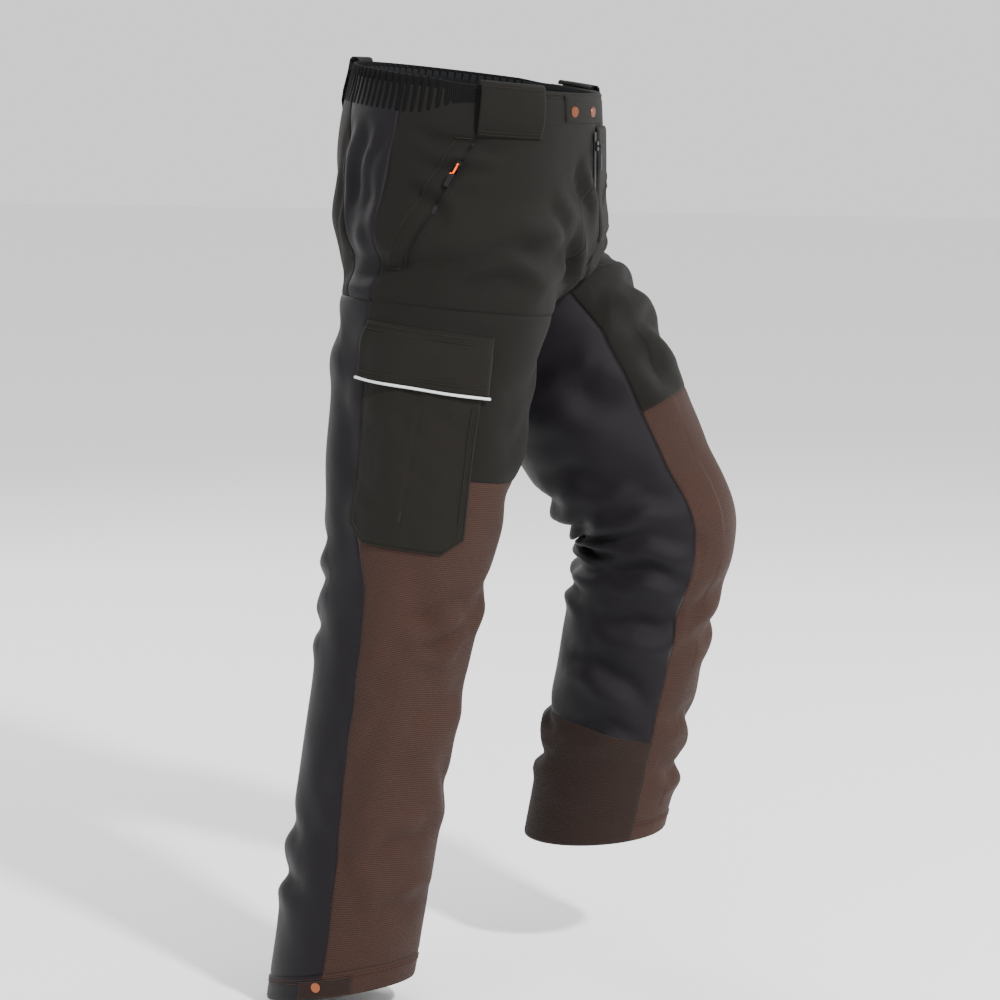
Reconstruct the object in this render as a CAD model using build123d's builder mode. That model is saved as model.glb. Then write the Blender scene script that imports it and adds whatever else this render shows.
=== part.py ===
"""Chainsaw protective trousers, standing in a walking stride as on a wearer.

Millimetres. +Z is up, -Y is the front, -X is the wearer's right. The origin is the centre of the waist opening.
Each leg is drawn hanging straight down, in depths below the waist, and is then turned at the hip and the knee.
Angles round the body or a leg are measured from the front towards the wearer's outer side.
"""

import os
from math import atan, cos, degrees, hypot, radians, sin, tan

from build123d import *

# ---------------------------------------------------------------- driving dimensions

# Torso: depth below the waist, half width, half depth, shift to the back, tilt of the section in degrees
WAIST = (0, 166, 145, 0, 7)
HIGH_HIP = (50, 171, 153, 6, 7)
HIP = (125, 185, 157, 10, 3.5)
SEAT = (205, 192, 148, 5, 0)
FORK = (262, 96, 84, 0, 0)

# Leg: depth below the waist, half width, half depth, distance of the leg's centre from the middle of the body
LEG_ROOT = (172, 84, 112, 95)
LEG_TOP = (205, 93, 128, 96)
YOKE = (262, 95, 126, 98)
THIGH = (330, 94, 122, 99)
LOW_THIGH = (450, 90, 114, 100)
KNEE = (600, 81, 98, 100)
BELOW_KNEE = (690, 78, 92, 100)
CALF = (800, 76, 90, 100)
ANKLE = (950, 74, 88, 100)
FOOT = (1180, 73, 86, 100)
ABOVE_KNEE = (520, 85.5, 106, 100)
THIGH_TOP_TABLE = (LEG_ROOT, LEG_TOP, YOKE)
THIGH_TABLE = (YOKE, THIGH, LOW_THIGH, KNEE, BELOW_KNEE)
SHIN_TABLE = (ABOVE_KNEE, KNEE, BELOW_KNEE, CALF, ANKLE, FOOT)

WAISTBAND = 40
CLOTH = 2.0                 # one outer panel with its seam allowance
LAYER_GAP = 0.5             # air between two layers
PAD = 7.0                   # saw protection, several knitted layers
LINING = 1.5
OVERLAY_GAP = 0.4           # between a panel and a patch or pocket on top of it

HIP_PIVOT = (95, -8, -190)  # for the wearer's left leg
KNEE_PIVOT = (100, -5, -600)
HIP_TURN_FROM, HIP_TURN_OVER = 190, 120
STRIDE = {"right": -7.4, "left": 28.0}       # hip swing, forwards positive
SPREAD = {"right": 3.5, "left": 4.5}         # hip swing, outwards positive
KNEE_BEND = {"right": 1.0, "left": 40.0}
DRAWN_UP = {"right": 0.0, "left": 90.0}      # leg length taken up in folds over a bent knee
SIDE = {"right": -1, "left": 1}

KNEE_RISE = 15              # slope of the thigh's lower edge, up towards the back of the knee
KNEE_FALL = 30              # slope of the shin's upper edge, down towards the back of the knee
KNEE_GAP = 2.0              # half the gap at the front of a straight knee
KNEE_CLEARANCE = 0.6

FRONT_PANEL = 104           # angle of the hip's side seam
SIDE_PANEL = 137
CROTCH_HALF = 62            # half width of the strip between the legs that belongs to the seat
OUTER_SEAM = 108            # angle of the leg's outer seam, front panel to back panel
INNER_SEAM = -50
BROWN_FROM = 457            # depth where the abrasion panel starts
PAD_FROM, PAD_INNER, PAD_OUTER = 300, -46, 96
BAND_STIFF = 62             # angle where the stiff band meets the elastic band

HEM_DEPTH = 1100
HEM_SLOPE = 20
HEM_BAND = 30
PATCH_FROM, PATCH_INNER, PATCH_OUTER = 915, -49, -172

LOOP_FROM, LOOP_TO = 40, 68  # angles that a wide front belt loop covers
LOOP_LENGTH = 66
LOOP_ABOVE = 7
ABOVE_WAIST = (-13, 165, 144, -1, 7)  # the torso carried on past the waist, for what stands above it
BACK_LOOP_WIDTH = 44
BELT_ROOM = 9
LOOP_CLOTH = 2.0

TAB_LEFT, TAB_RIGHT, TAB_MARGIN = 24, -76, 3
TAB_CLOTH = 2.5
SNAP_X = (-60, -17)
SNAP_RADIUS, SNAP_HEIGHT, STUD_RADIUS, STUD_HEIGHT = 7.0, 2.2, 4.5, 1.2

POCKET_TOP, POCKET_END = (-52, -64), (27, -215)   # hand pocket's zip seen from the side: back, up
ZIP_TOP_OUT, ZIP_END_OUT, ZIP_BULGE = 162, 191, 9.0  # how far out its ends lie, and its middle past their chord
WELT_WIDTH, ZIP_WIDTH, ZIP_THICK = 15, 7, 1.2
BAG_INSET, BAG_FORWARD, BAG_BACK = 4.5, 30, 5
SLOT_SIDE, SLOT_END = 1.0, 0.3  # room round the zip and its welt: beside them in mm, past their ends in degrees
BAG_THICK, BAG_TOP, BAG_BOTTOM = 2.4, 84, 176
SLIDER_AT = 40              # along the zip from its top
SLIDER_LENGTH, SLIDER_WIDTH, SLIDER_HEIGHT, SLIDER_ROUND = 11, 7, 2.6, 1.6
SLIDER_CLEARANCE = 0.4
BAIL_RADIUS, BAIL_LIFT, BAIL_SPAN = 0.8, 2.9, 5.8
EYE_CLEARANCE, EYE_WALL = 0.4, 0.9
PULL_CORD, PULL_GRIP, PULL_WIDTH, PULL_THICK, PULL_CORD_THICK = 12, 17, 6, 3.2, 1.8

FLY_X, FLY_LENGTH, FLY_FLAP_FROM, FLY_FLAP_TO = -14, 130, -7, 40
FLY_FLAP_TOP, FLY_CURVE = 59, 45
FLY_ZIP_TOP, FLY_ZIP_LENGTH = 61, 120
FLY_FACE = 149.5            # how far the fly's zip stands in front of the body's middle
FLY_SLIDER_AT = 16
FLY_FLAP_CLOTH = 3.0

CARGO_TOP, CARGO_BOTTOM, CARGO_FRONT, CARGO_BACK = 306, 548, -84, 52
CARGO_CHAMFER, CARGO_CLOTH = 22, 3.0
FLAP_TOP, FLAP_BOTTOM, FLAP_FRONT, FLAP_BACK = 288, 356, -88, 62
FLAP_CLOTH = 2.2
PIPING_HEIGHT, PIPING_THICK = 4, 1.6
TAPE_CLOTH, TAPE_GAP, TAPE_MARGIN, TAPE_HEIGHT = 0.9, 0.5, 22, 18

HEM_TAB_FROM, HEM_TAB_TO, HEM_TAB_HEIGHT, HEM_TAB_CLOTH = 66, 108, 24, 2.5
HEM_TAB_MARGIN = 3
HEM_SNAP_ANGLES = (93, 116)
SOCKET_CLEARANCE = 0.6
REACH = 420                 # longer than any half width: size of the cutting prisms

PAD_INSET = CLOTH + LAYER_GAP
LINING_INSET = PAD_INSET + PAD + LAYER_GAP
INNER_INSET = LINING_INSET + LINING

os.makedirs("parts", exist_ok=True)


def save(piece, label):
    """Name a finished piece and write it to its own file."""
    piece.part.label = label
    export_step(piece.part, f"parts/{label}.step")


# ---------------------------------------------------------------- frames and sections


def mirrored(point, side):
    """A point given for the wearer's left, on the wanted side."""
    return (side * point[0], point[1], point[2])


def turn_about(pivot, about_x, about_y):
    """The rigid turn that tilts a leg about its pivot."""
    there, back = Location(pivot), Location(tuple(-value for value in pivot))
    return there * Rotation(about_x, about_y, 0) * back


def hip_frame(name, share=1.0):
    """Frame of a leg that has made this share of its turn at the hip."""
    side = SIDE[name]
    return turn_about(mirrored(HIP_PIVOT, side), -STRIDE[name] * share, -side * SPREAD[name] * share)


def shin_frame(name):
    """Frame of a leg below its bent knee."""
    return hip_frame(name) * turn_about(mirrored(KNEE_PIVOT, SIDE[name]), KNEE_BEND[name], 0)


def hip_share(depth):
    """Share of the hip's turn at a depth: none above the hip, all below it, smooth between."""
    step = min(max((depth - HIP_TURN_FROM) / HIP_TURN_OVER, 0), 1)
    return step * step * (3 - 2 * step)


def shin_depth(name, depth):
    """Depth below the waist once the cloth over a bent knee is drawn up."""
    knee, foot = KNEE[0], HEM_DEPTH
    return knee + (depth - knee) * (1 - DRAWN_UP[name] / (foot - knee))


def oval(plane, half_width, half_depth):
    """One oval section."""
    with BuildSketch(plane) as ring:
        Ellipse(half_width, half_depth)
    return ring.sketch


def torso_ovals(inset):
    """Sections of the torso, each taken in by inset, the lowest one raised by as much."""
    rings = []
    for depth, half_width, half_depth, shift, tilt in (WAIST, HIGH_HIP, HIP, SEAT, FORK):
        lift = max(inset, 0) if depth == FORK[0] else 0
        plane = Plane(Location((0, shift, lift - depth), (tilt, 0, 0)))
        rings.append(oval(plane, half_width - inset, half_depth - inset))
    return rings


def thigh_ovals(name, inset, table):
    """Sections of a thigh, each turned by its share of the hip's swing."""
    rings = []
    for depth, half_width, half_depth, centre in table:
        place = Location((SIDE[name] * centre, 0, -depth))
        plane = Plane(hip_frame(name, hip_share(depth)) * place)
        rings.append(oval(plane, half_width - inset, half_depth - inset))
    return rings


def shin_ovals(name, inset):
    """Sections of a shin in its own straight frame."""
    rings = []
    for depth, half_width, half_depth, centre in SHIN_TABLE:
        place = Location((SIDE[name] * centre, 0, -shin_depth(name, depth)))
        rings.append(oval(Plane(shin_frame(name) * place), half_width - inset, half_depth - inset))
    return rings


def between(table, depth):
    """Half width, half depth and centre of a leg at a depth, in a straight line between two sections."""
    for upper, lower in zip(table, table[1:]):
        if upper[0] <= depth <= lower[0]:
            share = (depth - upper[0]) / (lower[0] - upper[0])
            return [a + (b - a) * share for a, b in zip(upper[1:], lower[1:])]
    return list(table[-1][1:])


# ---------------------------------------------------------------- cutting shapes


def knee_cut(frame, name, slope, gap):
    """Plane through the front edge of the knee that slopes up (or down) towards its back."""
    front = -KNEE[2]
    place = Location((SIDE[name] * KNEE[3], front, gap - KNEE[0]), (slope, 0, 0))
    return Plane(frame * place)


def thigh_end(name, clearance=0.0):
    """The plane on which a thigh ends; its upper side is the thigh's."""
    return knee_cut(hip_frame(name), name, KNEE_RISE, KNEE_GAP - clearance)


def shin_start(name, clearance=0.0):
    """The plane on which a shin starts; its lower side is the shin's."""
    return knee_cut(shin_frame(name), name, -KNEE_FALL, clearance - KNEE_GAP)


def hem_plane(name, above=0.0):
    """The sloping plane of a hem, or one the given distance above it."""
    place = Location((SIDE[name] * KNEE[3], 0, -shin_depth(name, HEM_DEPTH)), (-HEM_SLOPE, 0, 0))
    return Plane(shin_frame(name) * place).offset(above)


def wedge(frame, centre, side, start, end, top, bottom):
    """Prism with its edge on a tube's axis, open from one angle to another."""
    steps = 8
    angles = [radians(start + (end - start) * step / steps) for step in range(steps + 1)]
    rim = [(side * REACH * sin(angle), -REACH * cos(angle)) for angle in angles]
    with BuildPart() as prism:
        with BuildSketch(Plane(frame * Location((centre, 0, -bottom)))):
            with BuildLine():
                Polyline((0, 0), *rim, close=True)
            make_face()
        extrude(amount=bottom - top)
    return prism.part


def side_prism(frame, side, outline):
    """Prism through one side of the body with the given outline of (back, up) points."""
    upright = Plane(origin=(0, 0, 0), x_dir=(0, 1, 0), z_dir=(1, 0, 0))
    with BuildPart() as prism:
        with BuildSketch(Plane(frame * upright.location)):
            with BuildLine():
                Polyline(*outline, close=True)
            make_face()
        extrude(amount=side * REACH)
    return prism.part


def box_outline(front, back, top, bottom, chamfer=0.0):
    """Outline of a patch in (back, up) points, its two lower corners cut off."""
    if not chamfer:
        return [(front, -top), (back, -top), (back, -bottom), (front, -bottom)]
    return [(front, -top), (back, -top), (back, chamfer - bottom), (back - chamfer, -bottom),
            (front + chamfer, -bottom), (front, chamfer - bottom)]


# ---------------------------------------------------------------- leg pieces


def thigh_layer(name, outer, inner):
    """A tube of one layer of the thigh, from the yoke seam to the knee's edge."""
    with BuildPart() as layer:
        loft(thigh_ovals(name, outer, THIGH_TABLE))
        loft(thigh_ovals(name, inner, THIGH_TABLE), mode=Mode.SUBTRACT)
        split(bisect_by=thigh_end(name), keep=Keep.TOP)
    return layer.part


def shin_layer(name, outer, inner, hem_lift):
    """A tube of one layer of the shin, from the knee's edge to a given height above the hem."""
    with BuildPart() as layer:
        loft(shin_ovals(name, outer))
        loft(shin_ovals(name, inner), mode=Mode.SUBTRACT)
        split(bisect_by=shin_start(name), keep=Keep.BOTTOM)
        split(bisect_by=hem_plane(name, hem_lift), keep=Keep.TOP)
    return layer.part


def leg_wedge(name, frame, start, end, top, bottom):
    """Wedge round a leg's axis."""
    return wedge(frame, SIDE[name] * KNEE[3], SIDE[name], start, end, top, bottom)


for name, side in SIDE.items():
    thigh_place, shin_place = hip_frame(name), shin_frame(name)
    thigh_tube = thigh_layer(name, 0, CLOTH)
    front_wedge = leg_wedge(name, thigh_place, INNER_SEAM, OUTER_SEAM, 0, BROWN_FROM)
    brown_wedge = leg_wedge(name, thigh_place, INNER_SEAM, OUTER_SEAM, BROWN_FROM, REACH + BROWN_FROM)
    back_wedge = leg_wedge(name, thigh_place, OUTER_SEAM, 360 + INNER_SEAM, 0, REACH + BROWN_FROM)

    with BuildPart() as thigh_front:
        add(thigh_tube)
        add(front_wedge, mode=Mode.INTERSECT)
    save(thigh_front, f"{name}_thigh_front_panel")

    with BuildPart() as thigh_brown:
        add(thigh_tube)
        add(brown_wedge, mode=Mode.INTERSECT)
    save(thigh_brown, f"{name}_thigh_abrasion_panel")

    with BuildPart() as thigh_back:
        add(thigh_tube)
        add(back_wedge, mode=Mode.INTERSECT)
    save(thigh_back, f"{name}_thigh_back_panel")

    with BuildPart() as thigh_pad:
        add(thigh_layer(name, PAD_INSET, PAD_INSET + PAD))
        add(leg_wedge(name, thigh_place, PAD_INNER, PAD_OUTER, PAD_FROM, REACH + PAD_FROM), mode=Mode.INTERSECT)
    save(thigh_pad, f"{name}_thigh_saw_pad")

    # the knee: a ring of cloth between the two sloping edges, which folds as the knee bends
    thigh_slope, shin_slope = radians(KNEE_RISE), radians(KNEE_FALL)
    with BuildPart() as knee_cloth:
        for taken_in, mode in ((0, Mode.ADD), (CLOTH, Mode.SUBTRACT)):
            rings = []
            for cut, slope in ((thigh_end(name, KNEE_CLEARANCE), thigh_slope),
                               (shin_start(name, KNEE_CLEARANCE), shin_slope)):
                middle = cut * Location((0, KNEE[2] / cos(slope), 0))
                rings.append(oval(middle, KNEE[1] - taken_in, (KNEE[2] - taken_in) / cos(slope)))
            loft(rings, ruled=True, mode=mode)
    save(knee_cloth, f"{name}_knee_cloth")

    shin_tube = shin_layer(name, 0, CLOTH, HEM_BAND)
    patch_depth = shin_depth(name, PATCH_FROM)
    patch_wedge = leg_wedge(name, shin_place, PATCH_OUTER, PATCH_INNER, patch_depth, patch_depth + REACH)

    with BuildPart() as shin_front:
        add(shin_tube)
        add(leg_wedge(name, shin_place, INNER_SEAM, OUTER_SEAM, REACH, FOOT[0]), mode=Mode.INTERSECT)
    save(shin_front, f"{name}_shin_abrasion_panel")

    with BuildPart() as shin_back:
        add(shin_tube)
        add(leg_wedge(name, shin_place, OUTER_SEAM, 360 + INNER_SEAM, REACH, FOOT[0]), mode=Mode.INTERSECT)
        add(patch_wedge, mode=Mode.SUBTRACT)
    save(shin_back, f"{name}_shin_back_panel")

    with BuildPart() as ankle_patch:
        add(shin_tube)
        add(leg_wedge(name, shin_place, OUTER_SEAM, 360 + INNER_SEAM, REACH, FOOT[0]), mode=Mode.INTERSECT)
        add(patch_wedge, mode=Mode.INTERSECT)
    save(ankle_patch, f"{name}_ankle_patch")

    with BuildPart() as shin_pad:
        add(shin_layer(name, PAD_INSET, PAD_INSET + PAD, 2 * HEM_BAND))
        add(leg_wedge(name, shin_place, PAD_INNER, PAD_OUTER, REACH, FOOT[0]), mode=Mode.INTERSECT)
    save(shin_pad, f"{name}_shin_saw_pad")

    with BuildPart() as shin_lining:
        add(shin_layer(name, LINING_INSET, INNER_INSET, HEM_BAND))
    save(shin_lining, f"{name}_shin_lining")

    with BuildPart() as hem:
        add(shin_layer(name, 0, 2 * CLOTH, 0))
        split(bisect_by=hem_plane(name, HEM_BAND), keep=Keep.BOTTOM)
    save(hem, f"{name}_hem")


# ---------------------------------------------------------------- hips, seat and lining


def body_of_cloth(outer, inner, thigh_tables):
    """The hips and the tops of both thighs as one hollow shell of one layer."""
    with BuildPart() as shell:
        for inset, mode in ((outer, Mode.ADD), (inner, Mode.SUBTRACT)):
            loft(torso_ovals(inset), mode=mode)
            for name in SIDE:
                for table in thigh_tables:
                    loft(thigh_ovals(name, inset, table), mode=mode)
    return shell.part


def band_plane(depth):
    """A plane parallel to the waist, the given depth below it."""
    return Plane(Location((0, 0, 0), (WAIST[4], 0, 0))).offset(-depth)


def hip_wedge(side, start, end):
    """Wedge round the torso's axis, over its whole height."""
    return wedge(Location((0, 0, 0)), 0, side, start, end, -REACH, REACH)


with BuildPart() as hips:
    add(body_of_cloth(0, CLOTH, [THIGH_TOP_TABLE]))
    for name in SIDE:
        loft(thigh_ovals(name, 0, THIGH_TABLE), mode=Mode.SUBTRACT)
    split(bisect_by=band_plane(WAISTBAND), keep=Keep.BOTTOM)

# the hand pocket's zip lies in one slanting plane, on an arc over the hip
run_back, run_up = POCKET_END[0] - POCKET_TOP[0], POCKET_END[1] - POCKET_TOP[1]
zip_run = hypot(run_back, run_up)
chord = hypot(zip_run, ZIP_END_OUT - ZIP_TOP_OUT)
zip_radius = (chord * chord / 4 + ZIP_BULGE * ZIP_BULGE) / (2 * ZIP_BULGE)
zip_sink = zip_radius - ZIP_BULGE
zip_lean = atan((ZIP_END_OUT - ZIP_TOP_OUT) / zip_run)
zip_centre_along = zip_run / 2 + zip_sink * sin(zip_lean)
zip_centre_out = (ZIP_TOP_OUT + ZIP_END_OUT) / 2 - zip_sink * cos(zip_lean)
zip_start = degrees(atan(zip_centre_along / (ZIP_TOP_OUT - zip_centre_out)))
zip_sweep = 2 * degrees(atan(chord / 2 / zip_sink))


def zip_frame(side, angle=0.0):
    """Frame at the centre of the zip's arc: X out to the zip, Y down along it, turned on by an angle."""
    down = Vector(0, run_back / zip_run, run_up / zip_run)
    out = Vector(side, 0, 0)
    centre = Vector(0, *POCKET_TOP) + down * zip_centre_along + out * zip_centre_out
    flat = Plane(origin=centre, x_dir=out, z_dir=out.cross(down))
    return flat.location * Rotation(0, 0, angle - zip_start)


def zip_strip(side, across, wide, low, high, start=0.0, sweep=zip_sweep):
    """A strip that follows the zip's arc: its middle across, its width, and its two faces above the seat."""
    frame = zip_frame(side, start)
    with BuildPart() as strip:
        with BuildSketch(Plane(frame * Plane.XZ.location)):
            with Locations((zip_radius + (low + high) / 2, across)):
                Rectangle(high - low, wide)
        revolve(axis=Axis(Plane(frame).origin, Plane(frame).z_dir), revolution_arc=sweep)
    return strip.part


with BuildPart() as crotch:
    with BuildSketch(Plane.XY.offset(-REACH)):
        with Locations((0, REACH / 2)):
            Rectangle(2 * CROTCH_HALF, REACH)
    extrude(amount=REACH)
crotch_block = crotch.part

slot_wide = ZIP_WIDTH + WELT_WIDTH + 2 * SLOT_SIDE
for name, side in SIDE.items():
    slot_middle = side * (WELT_WIDTH + SLOT_SIDE) / 2
    slot = zip_strip(side, slot_middle, slot_wide, -ZIP_WIDTH, 2 * ZIP_WIDTH, -SLOT_END, zip_sweep + 2 * SLOT_END)

    with BuildPart() as hip_front:
        add(hips.part)
        add(hip_wedge(side, 0, FRONT_PANEL), mode=Mode.INTERSECT)
        add(crotch_block, mode=Mode.SUBTRACT)
        add(slot, mode=Mode.SUBTRACT)
    save(hip_front, f"{name}_hip_front_panel")

    with BuildPart() as hip_side:
        add(hips.part)
        add(hip_wedge(side, FRONT_PANEL, SIDE_PANEL), mode=Mode.INTERSECT)
        add(crotch_block, mode=Mode.SUBTRACT)
    save(hip_side, f"{name}_hip_side_panel")


with BuildPart() as welts:
    for side in SIDE.values():
        welt_middle = side * (ZIP_WIDTH + WELT_WIDTH + 1) / 2
        add(zip_strip(side, welt_middle, WELT_WIDTH, 0, CLOTH))
save(welts, "hand_pocket_welts")

with BuildPart() as pocket_zips:
    for side in SIDE.values():
        add(zip_strip(side, 0, ZIP_WIDTH, 0, ZIP_THICK))
save(pocket_zips, "hand_pocket_zips")

with BuildPart() as bags:
    loft(torso_ovals(BAG_INSET))
    loft(torso_ovals(BAG_INSET + BAG_THICK), mode=Mode.SUBTRACT)
    bag_outline = box_outline(POCKET_TOP[0] - BAG_FORWARD, POCKET_END[0] + BAG_BACK, BAG_TOP, BAG_BOTTOM)
    upright = Location((0, 0, 0))
    both_sides = side_prism(upright, 1, bag_outline) + side_prism(upright, -1, bag_outline)
    add(both_sides, mode=Mode.INTERSECT)
save(bags, "hand_pocket_bags")

with BuildPart() as seat:
    add(hips.part)
    add(hip_wedge(1, SIDE_PANEL, 360 - SIDE_PANEL) + crotch_block, mode=Mode.INTERSECT)
save(seat, "seat_panel")

with BuildPart() as lining:
    add(body_of_cloth(LINING_INSET, INNER_INSET, [THIGH_TOP_TABLE, THIGH_TABLE]))
    split(bisect_by=band_plane(WAISTBAND), keep=Keep.BOTTOM)
    for name in SIDE:
        split(bisect_by=thigh_end(name), keep=Keep.TOP)
        add(thigh_layer(name, -LAYER_GAP, LINING_INSET - LAYER_GAP), mode=Mode.SUBTRACT)
save(lining, "hip_and_thigh_lining")

# ---------------------------------------------------------------- waistband, belt loops and front tab


def torso_layer(outer, inner):
    """A ring of one layer round the waist, open above and below."""
    with BuildPart() as layer:
        for inset, mode in ((outer, Mode.ADD), (inner, Mode.SUBTRACT)):
            rings = []
            for depth, half_width, half_depth, shift, tilt in (ABOVE_WAIST, WAIST, HIGH_HIP, HIP):
                plane = Plane(Location((0, shift, -depth), (tilt, 0, 0)))
                rings.append(oval(plane, half_width - inset, half_depth - inset))
            loft(rings, mode=mode)
    return layer.part


def slab(top, bottom):
    """Everything between two planes parallel to the waist; depths below it."""
    with BuildPart() as block:
        with BuildSketch(band_plane(bottom)):
            Rectangle(2 * REACH, 2 * REACH)
        extrude(amount=bottom - top)
    return block.part


band = torso_layer(0, 2 * CLOTH)
for label, start, end in (("waistband_front", -BAND_STIFF, BAND_STIFF),
                          ("elastic_waistband", BAND_STIFF, 360 - BAND_STIFF)):
    with BuildPart() as band_piece:
        add(band)
        add(slab(0, WAISTBAND), mode=Mode.INTERSECT)
        add(hip_wedge(1, start, end), mode=Mode.INTERSECT)
    save(band_piece, label)

loop_bottom = LOOP_LENGTH - LOOP_ABOVE
back_half_angle = degrees(atan(BACK_LOOP_WIDTH / 2 / WAIST[2]))
loop_strap = torso_layer(-BELT_ROOM - LOOP_CLOTH, -BELT_ROOM)
loop_fold = torso_layer(-BELT_ROOM - LOOP_CLOTH, 2 * CLOTH)
loop_foot = torso_layer(-BELT_ROOM - LOOP_CLOTH, -OVERLAY_GAP)
with BuildPart() as belt_loops:
    for start, end in ((LOOP_FROM, LOOP_TO), (-LOOP_TO, -LOOP_FROM),
                       (180 - back_half_angle, 180 + back_half_angle)):
        for layer, top, bottom in ((loop_strap, -LOOP_ABOVE, loop_bottom),
                                   (loop_fold, -LOOP_ABOVE, 0),
                                   (loop_foot, loop_bottom - LOOP_CLOTH, loop_bottom)):
            piece = layer & slab(top, bottom) & hip_wedge(1, start, end)
            add(piece)
save(belt_loops, "belt_loops")


def tab_blank(outer, inner, left, right, margin):
    """A curved rectangle in front of the waistband."""
    with BuildPart() as blank:
        add(torso_layer(-outer, -inner))
        add(slab(margin, WAISTBAND - margin), mode=Mode.INTERSECT)
        with BuildSketch(Plane.XY.offset(-REACH)):
            with Locations(((left + right) / 2, -REACH / 2)):
                Rectangle(left - right, REACH)
        extrude(amount=2 * REACH, mode=Mode.INTERSECT)
    return blank.part


def waist_spot(across, proud):
    """Frame on the front of the waistband at half its height: Z points outwards."""
    height = WAISTBAND / 2
    share = height / HIGH_HIP[0]
    _, half_width, half_depth, shift, _ = (a + (b - a) * share for a, b in zip(WAIST, HIGH_HIP))
    back = shift - half_depth * (1 - (across / half_width) ** 2) ** 0.5
    tilt = radians(WAIST[4])
    outward = Vector(across / half_width ** 2, back / half_depth ** 2, 0).normalized()
    outward = Vector(outward.X, outward.Y * cos(tilt), outward.Y * sin(tilt))
    spot = Vector(across, back * cos(tilt), back * sin(tilt) - height) + outward * proud
    return Plane(origin=spot, x_dir=(outward.Y, -outward.X, 0), z_dir=outward)


with BuildPart() as waist_tab:
    add(tab_blank(OVERLAY_GAP + TAB_CLOTH, OVERLAY_GAP, TAB_LEFT, TAB_RIGHT, TAB_MARGIN))
    for across in SNAP_X:
        with BuildSketch(waist_spot(across, -2 * CLOTH)):
            Circle(STUD_RADIUS + SOCKET_CLEARANCE)
        extrude(amount=2 * CLOTH + OVERLAY_GAP + STUD_HEIGHT + SOCKET_CLEARANCE, mode=Mode.SUBTRACT)
save(waist_tab, "waist_tab")

with BuildPart() as waist_caps:
    for across in SNAP_X:
        with BuildSketch(waist_spot(across, OVERLAY_GAP + TAB_CLOTH)):
            Circle(SNAP_RADIUS)
        extrude(amount=SNAP_HEIGHT, taper=25)
    add(torso_layer(-OVERLAY_GAP - TAB_CLOTH, 2 * CLOTH), mode=Mode.SUBTRACT)
save(waist_caps, "waist_snap_caps")

with BuildPart() as waist_studs:
    for across in SNAP_X:
        with BuildSketch(waist_spot(across, -CLOTH)):
            Circle(STUD_RADIUS)
        extrude(amount=CLOTH + STUD_HEIGHT)
    add(band, mode=Mode.SUBTRACT)
save(waist_studs, "waist_snap_studs")

# ---------------------------------------------------------------- fly

with BuildPart() as fly_flap:
    loft(torso_ovals(-OVERLAY_GAP - FLY_FLAP_CLOTH))
    loft(torso_ovals(-OVERLAY_GAP), mode=Mode.SUBTRACT)
    with BuildSketch(Plane.XZ):
        with BuildLine():
            flap_foot = -FLY_FLAP_TOP - FLY_LENGTH
            side_line = Line((FLY_FLAP_TO, -FLY_FLAP_TOP), (FLY_FLAP_TO, flap_foot + FLY_CURVE))
            curve = EllipticalCenterArc((FLY_FLAP_FROM, flap_foot + FLY_CURVE),
                                        FLY_FLAP_TO - FLY_FLAP_FROM, FLY_CURVE, 270, arc_size=90)
            Polyline(curve @ 0, (FLY_FLAP_FROM, -FLY_FLAP_TOP), side_line @ 0)
        make_face()
    extrude(amount=REACH, mode=Mode.INTERSECT)
save(fly_flap, "fly_flap")

# straight down the front: X out to the wearer's front, Y down along the zip, Z across it
fly_seat = Plane(origin=(FLY_X, -FLY_FACE, -FLY_ZIP_TOP), x_dir=(0, -1, 0), z_dir=(1, 0, 0)).location
with BuildPart() as fly_zip:
    with BuildSketch(Plane(fly_seat)):
        with Locations((ZIP_THICK / 2, FLY_ZIP_LENGTH / 2)):
            Rectangle(ZIP_THICK, FLY_ZIP_LENGTH)
    extrude(amount=ZIP_WIDTH / 2, both=True)
save(fly_zip, "fly_zip")

# ---------------------------------------------------------------- zip sliders and pulls


def make_slider(seat):
    """A slider on its zip. The seat's X points out of the cloth, Y along the zip and Z across it."""
    floor = ZIP_THICK + SLIDER_CLEARANCE
    bail_height = floor + SLIDER_HEIGHT + BAIL_LIFT
    with BuildPart() as slider:
        with BuildSketch(Plane(seat)):
            with Locations((floor + SLIDER_HEIGHT / 2, 0)):
                Rectangle(SLIDER_HEIGHT, SLIDER_LENGTH)
        extrude(amount=SLIDER_WIDTH / 2, both=True)
        fillet(slider.edges().filter_by(Axis(Plane(seat).origin, Plane(seat).x_dir)), SLIDER_ROUND)
        for end in (-1, 1):
            with BuildSketch(Plane(seat).offset(end * (BAIL_SPAN - BAIL_RADIUS) / 2)):
                with Locations(((floor + bail_height) / 2 + 0.5, 0)):
                    Rectangle(bail_height - floor - 1 + BAIL_RADIUS, 2 * BAIL_RADIUS)
            extrude(amount=BAIL_RADIUS / 2, both=True)
        with BuildSketch(Plane(seat)):
            with Locations((bail_height, 0)):
                Circle(BAIL_RADIUS)
        extrude(amount=BAIL_SPAN / 2, both=True)
    return slider


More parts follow.
